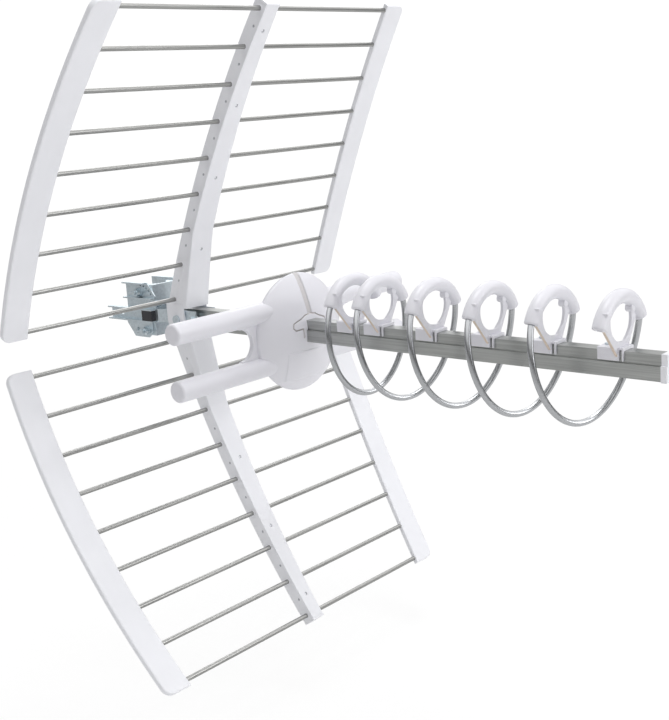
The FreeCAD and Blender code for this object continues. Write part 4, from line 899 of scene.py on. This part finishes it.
def spine_rings(up, nest):
    """Tapered channel, open behind: rings run up the arc, each one a U outline; also its dimples."""
    share = np.linspace(0, 1, 420)[:, None]
    rear_d = SPINE_REAR_START + (SPINE_END - SPINE_REAR_START) * share
    front_d = SPINE_FRONT_START + (SPINE_END - SPINE_FRONT_START) * share
    root = np.clip((SPINE_DEEP_END - front_d) / (SPINE_DEEP_END - SPINE_FRONT_START), 0, None)
    rear_x, rear_z = panel_at(rear_d, SPINE_REAR)
    front_x, front_z = panel_at(front_d, SPINE_FRONT + SPINE_DEEP * root)
    depth = np.hypot(front_x - rear_x, front_z - rear_z)
    half = spine_half_y((rear_z + front_z) / 2, nest)
    u, v, skin = spine_outline()
    wall = np.where(skin == INSIDE, SPINE_WALL, 0.0)
    across = u * (half - wall)
    deep = v * (depth - wall)
    along = rear_d * (1 - v) + front_d * v
    dimple = spine_dimples(along, across, deep, skin)
    rib = (skin == SIDE) * step_up(along + 1.0, 1.2) * step_up(ROD_PITCH + 1.0 - along, 1.2)
    rib = rib * step_up(RIB_HALF - np.abs(deep - RIB_DEEP), 1.0)
    across = across + np.sign(across) * (RIB_HIGH * rib - np.where(skin == SIDE, dimple, 0))
    deep = deep - np.where(skin == FRONT, DIMPLE_DEPTH * dimple, 0)
    x = rear_x + (front_x - rear_x) / depth * deep
    z = rear_z + (front_z - rear_z) / depth * deep
    return np.stack([x, across, up * z], axis=-1), dimple


def make_spine(name, up, nest):
    """Spine with its dimples in painted shade, its rib, the two ears round the boom's bolt and a collar
    round each rod.
    """
    rings, dimple = spine_rings(up, nest)
    form = Form().add(rings)
    outer = EAR_OUT_Y - nest
    turn = np.linspace(math.pi, 2 * math.pi, 30)
    middle = EAR_X + EAR_SPREAD * np.sign(np.cos(turn))
    round_end = np.stack([middle + EAR_R * np.cos(turn), EAR_R * np.sin(turn)], axis=1)
    ear = np.concatenate([round_end, EAR_ROOT]) * (1, up)
    for side in (-1, 1):
        low, high = sorted((side * (outer - SPINE_WALL), side * outer))
        form.add(slab_rings("y", low, high, ear, 0.35))
        for _, x, z in rod_places():
            collar = [(side * (spine_half_y(z, nest) + out), radius) for out, radius in COLLAR]
            form.add(turned_rings("y", (x, 0, up * z), collar, 20), loop=True)
    # The dimples get painted shade through the mark attribute
    marks = np.zeros(form.count)
    marks[:dimple.size] = np.clip(2 * dimple, 0, 1).ravel()
    form.make(name + "_form", name, SPINE_FINISH, marks)


# Stage

def pale_surface(name):
    """Pale matte floor that turns into the white surround away from the part's soft shadow."""
    material = bpy.data.materials.new(name)
    material.use_nodes = True
    tree = material.node_tree
    tree.nodes.clear()
    matte = tree.nodes.new("ShaderNodeBsdfDiffuse")
    matte.inputs["Color"].default_value = FLOOR_COLOUR
    glow = tree.nodes.new("ShaderNodeEmission")
    glow.inputs["Strength"].default_value = FLOOR_WHITE
    place = tree.nodes.new("ShaderNodeTexCoord")
    length = tree.nodes.new("ShaderNodeVectorMath")
    length.operation = "LENGTH"
    tree.links.new(place.outputs["Object"], length.inputs[0])
    fade = map_range(tree, length.outputs["Value"], True, From_Min=FADE_START, From_Max=FADE_END,
                     To_Min=FLOOR_GLOW)
    path = tree.nodes.new("ShaderNodeLightPath")
    blend = tree.nodes.new("ShaderNodeMixShader")
    tree.links.new(map_range(tree, path.outputs["Is Camera Ray"], To_Max=fade), blend.inputs["Fac"])
    tree.links.new(matte.outputs[0], blend.inputs[1])
    tree.links.new(glow.outputs[0], blend.inputs[2])
    output = tree.nodes.new("ShaderNodeOutputMaterial")
    tree.links.new(blend.outputs[0], output.inputs["Surface"])
    return material


def make_floor():
    """Flat round sheet under the aerial, far wider than the view."""
    corners = on_plane("z", FLOOR_Z, FLOOR_HALF * np.stack(circle(64), axis=1))
    mesh = bpy.data.meshes.new("floor")
    mesh.from_pydata(corners.tolist(), [], [list(range(64))])
    floor = bpy.data.objects.new("floor", mesh)
    bpy.context.scene.collection.objects.link(floor)
    mesh.materials.append(pale_surface("pale_floor"))


def make_world():
    """Pale surround: white to the camera, even as a light, and bright overhead in reflections."""
    world = bpy.data.worlds.new("surround")
    bpy.context.scene.world = world
    world.use_nodes = True
    tree = world.node_tree
    background = tree.nodes["Background"]
    background.inputs["Color"].default_value = (1.0, 1.0, 1.0, 1.0)
    path = tree.nodes.new("ShaderNodeLightPath")
    direction = tree.nodes.new("ShaderNodeTexCoord")
    parts = tree.nodes.new("ShaderNodeSeparateXYZ")
    tree.links.new(direction.outputs["Generated"], parts.inputs["Vector"])
    overhead = map_range(tree, parts.outputs["Z"], True, From_Min=SKY_LOW_Z, From_Max=SKY_HIGH_Z,
                         To_Min=SKY_DARK, To_Max=SKY_BRIGHT)
    lit = map_range(tree, path.outputs["Is Glossy Ray"], To_Min=WORLD_LIGHT, To_Max=overhead)
    strength = map_range(tree, path.outputs["Is Camera Ray"], To_Min=lit, To_Max=WORLD_WHITE)
    tree.links.new(strength, background.inputs["Strength"])


def area_light(name, place, size, power):
    """Square lamp that faces the part."""
    data = bpy.data.lights.new(name, "AREA")
    data.shape = "SQUARE"
    data.size = size
    data.energy = power
    light = bpy.data.objects.new(name, data)
    light.location = place
    light.rotation_euler = (Vector(LAMP_TARGET) - Vector(place)).to_track_quat("-Z", "Y").to_euler()
    bpy.context.scene.collection.objects.link(light)


def make_camera():
    """The photograph's viewpoint, from its solved place and directions."""
    data = bpy.data.cameras.new("camera")
    data.sensor_fit = "HORIZONTAL"
    data.sensor_width = SENSOR_MM
    data.lens = FOCAL_PIXELS / FRAME_WIDTH * SENSOR_MM
    data.clip_start = 0.01
    data.clip_end = 60.0
    camera = bpy.data.objects.new("camera", data)
    right = Vector(CAMERA_RIGHT).normalized()
    back = -Vector(CAMERA_FORWARD).normalized()
    up = back.cross(right).normalized()
    turn = Matrix((right, up, back)).transposed().to_4x4()
    camera.matrix_world = Matrix.Translation(CAMERA_PLACE) @ turn
    bpy.context.scene.collection.objects.link(camera)
    bpy.context.scene.camera = camera


dress_nodes()
make_helix()
for number, x in enumerate(HOOK_PLACES, 1):
    make_hook(number, x)
make_dipole_cover()
make_dipole_housing()
make_rods("upper", 1)
make_rods("lower", -1)
make_spine("upper_spine", 1, 0.0)
make_spine("lower_spine", -1, SPINE_NEST)
for side, word in ((1, "right"), (-1, "left")):
    make_bar(f"upper_{word}_bar", side, 1)
    make_bar(f"lower_{word}_bar", side, -1)
make_floor()
make_world()
for lamp in LAMPS:
    area_light(*lamp)
make_camera()
bpy.context.scene.view_settings.view_transform = "Standard"
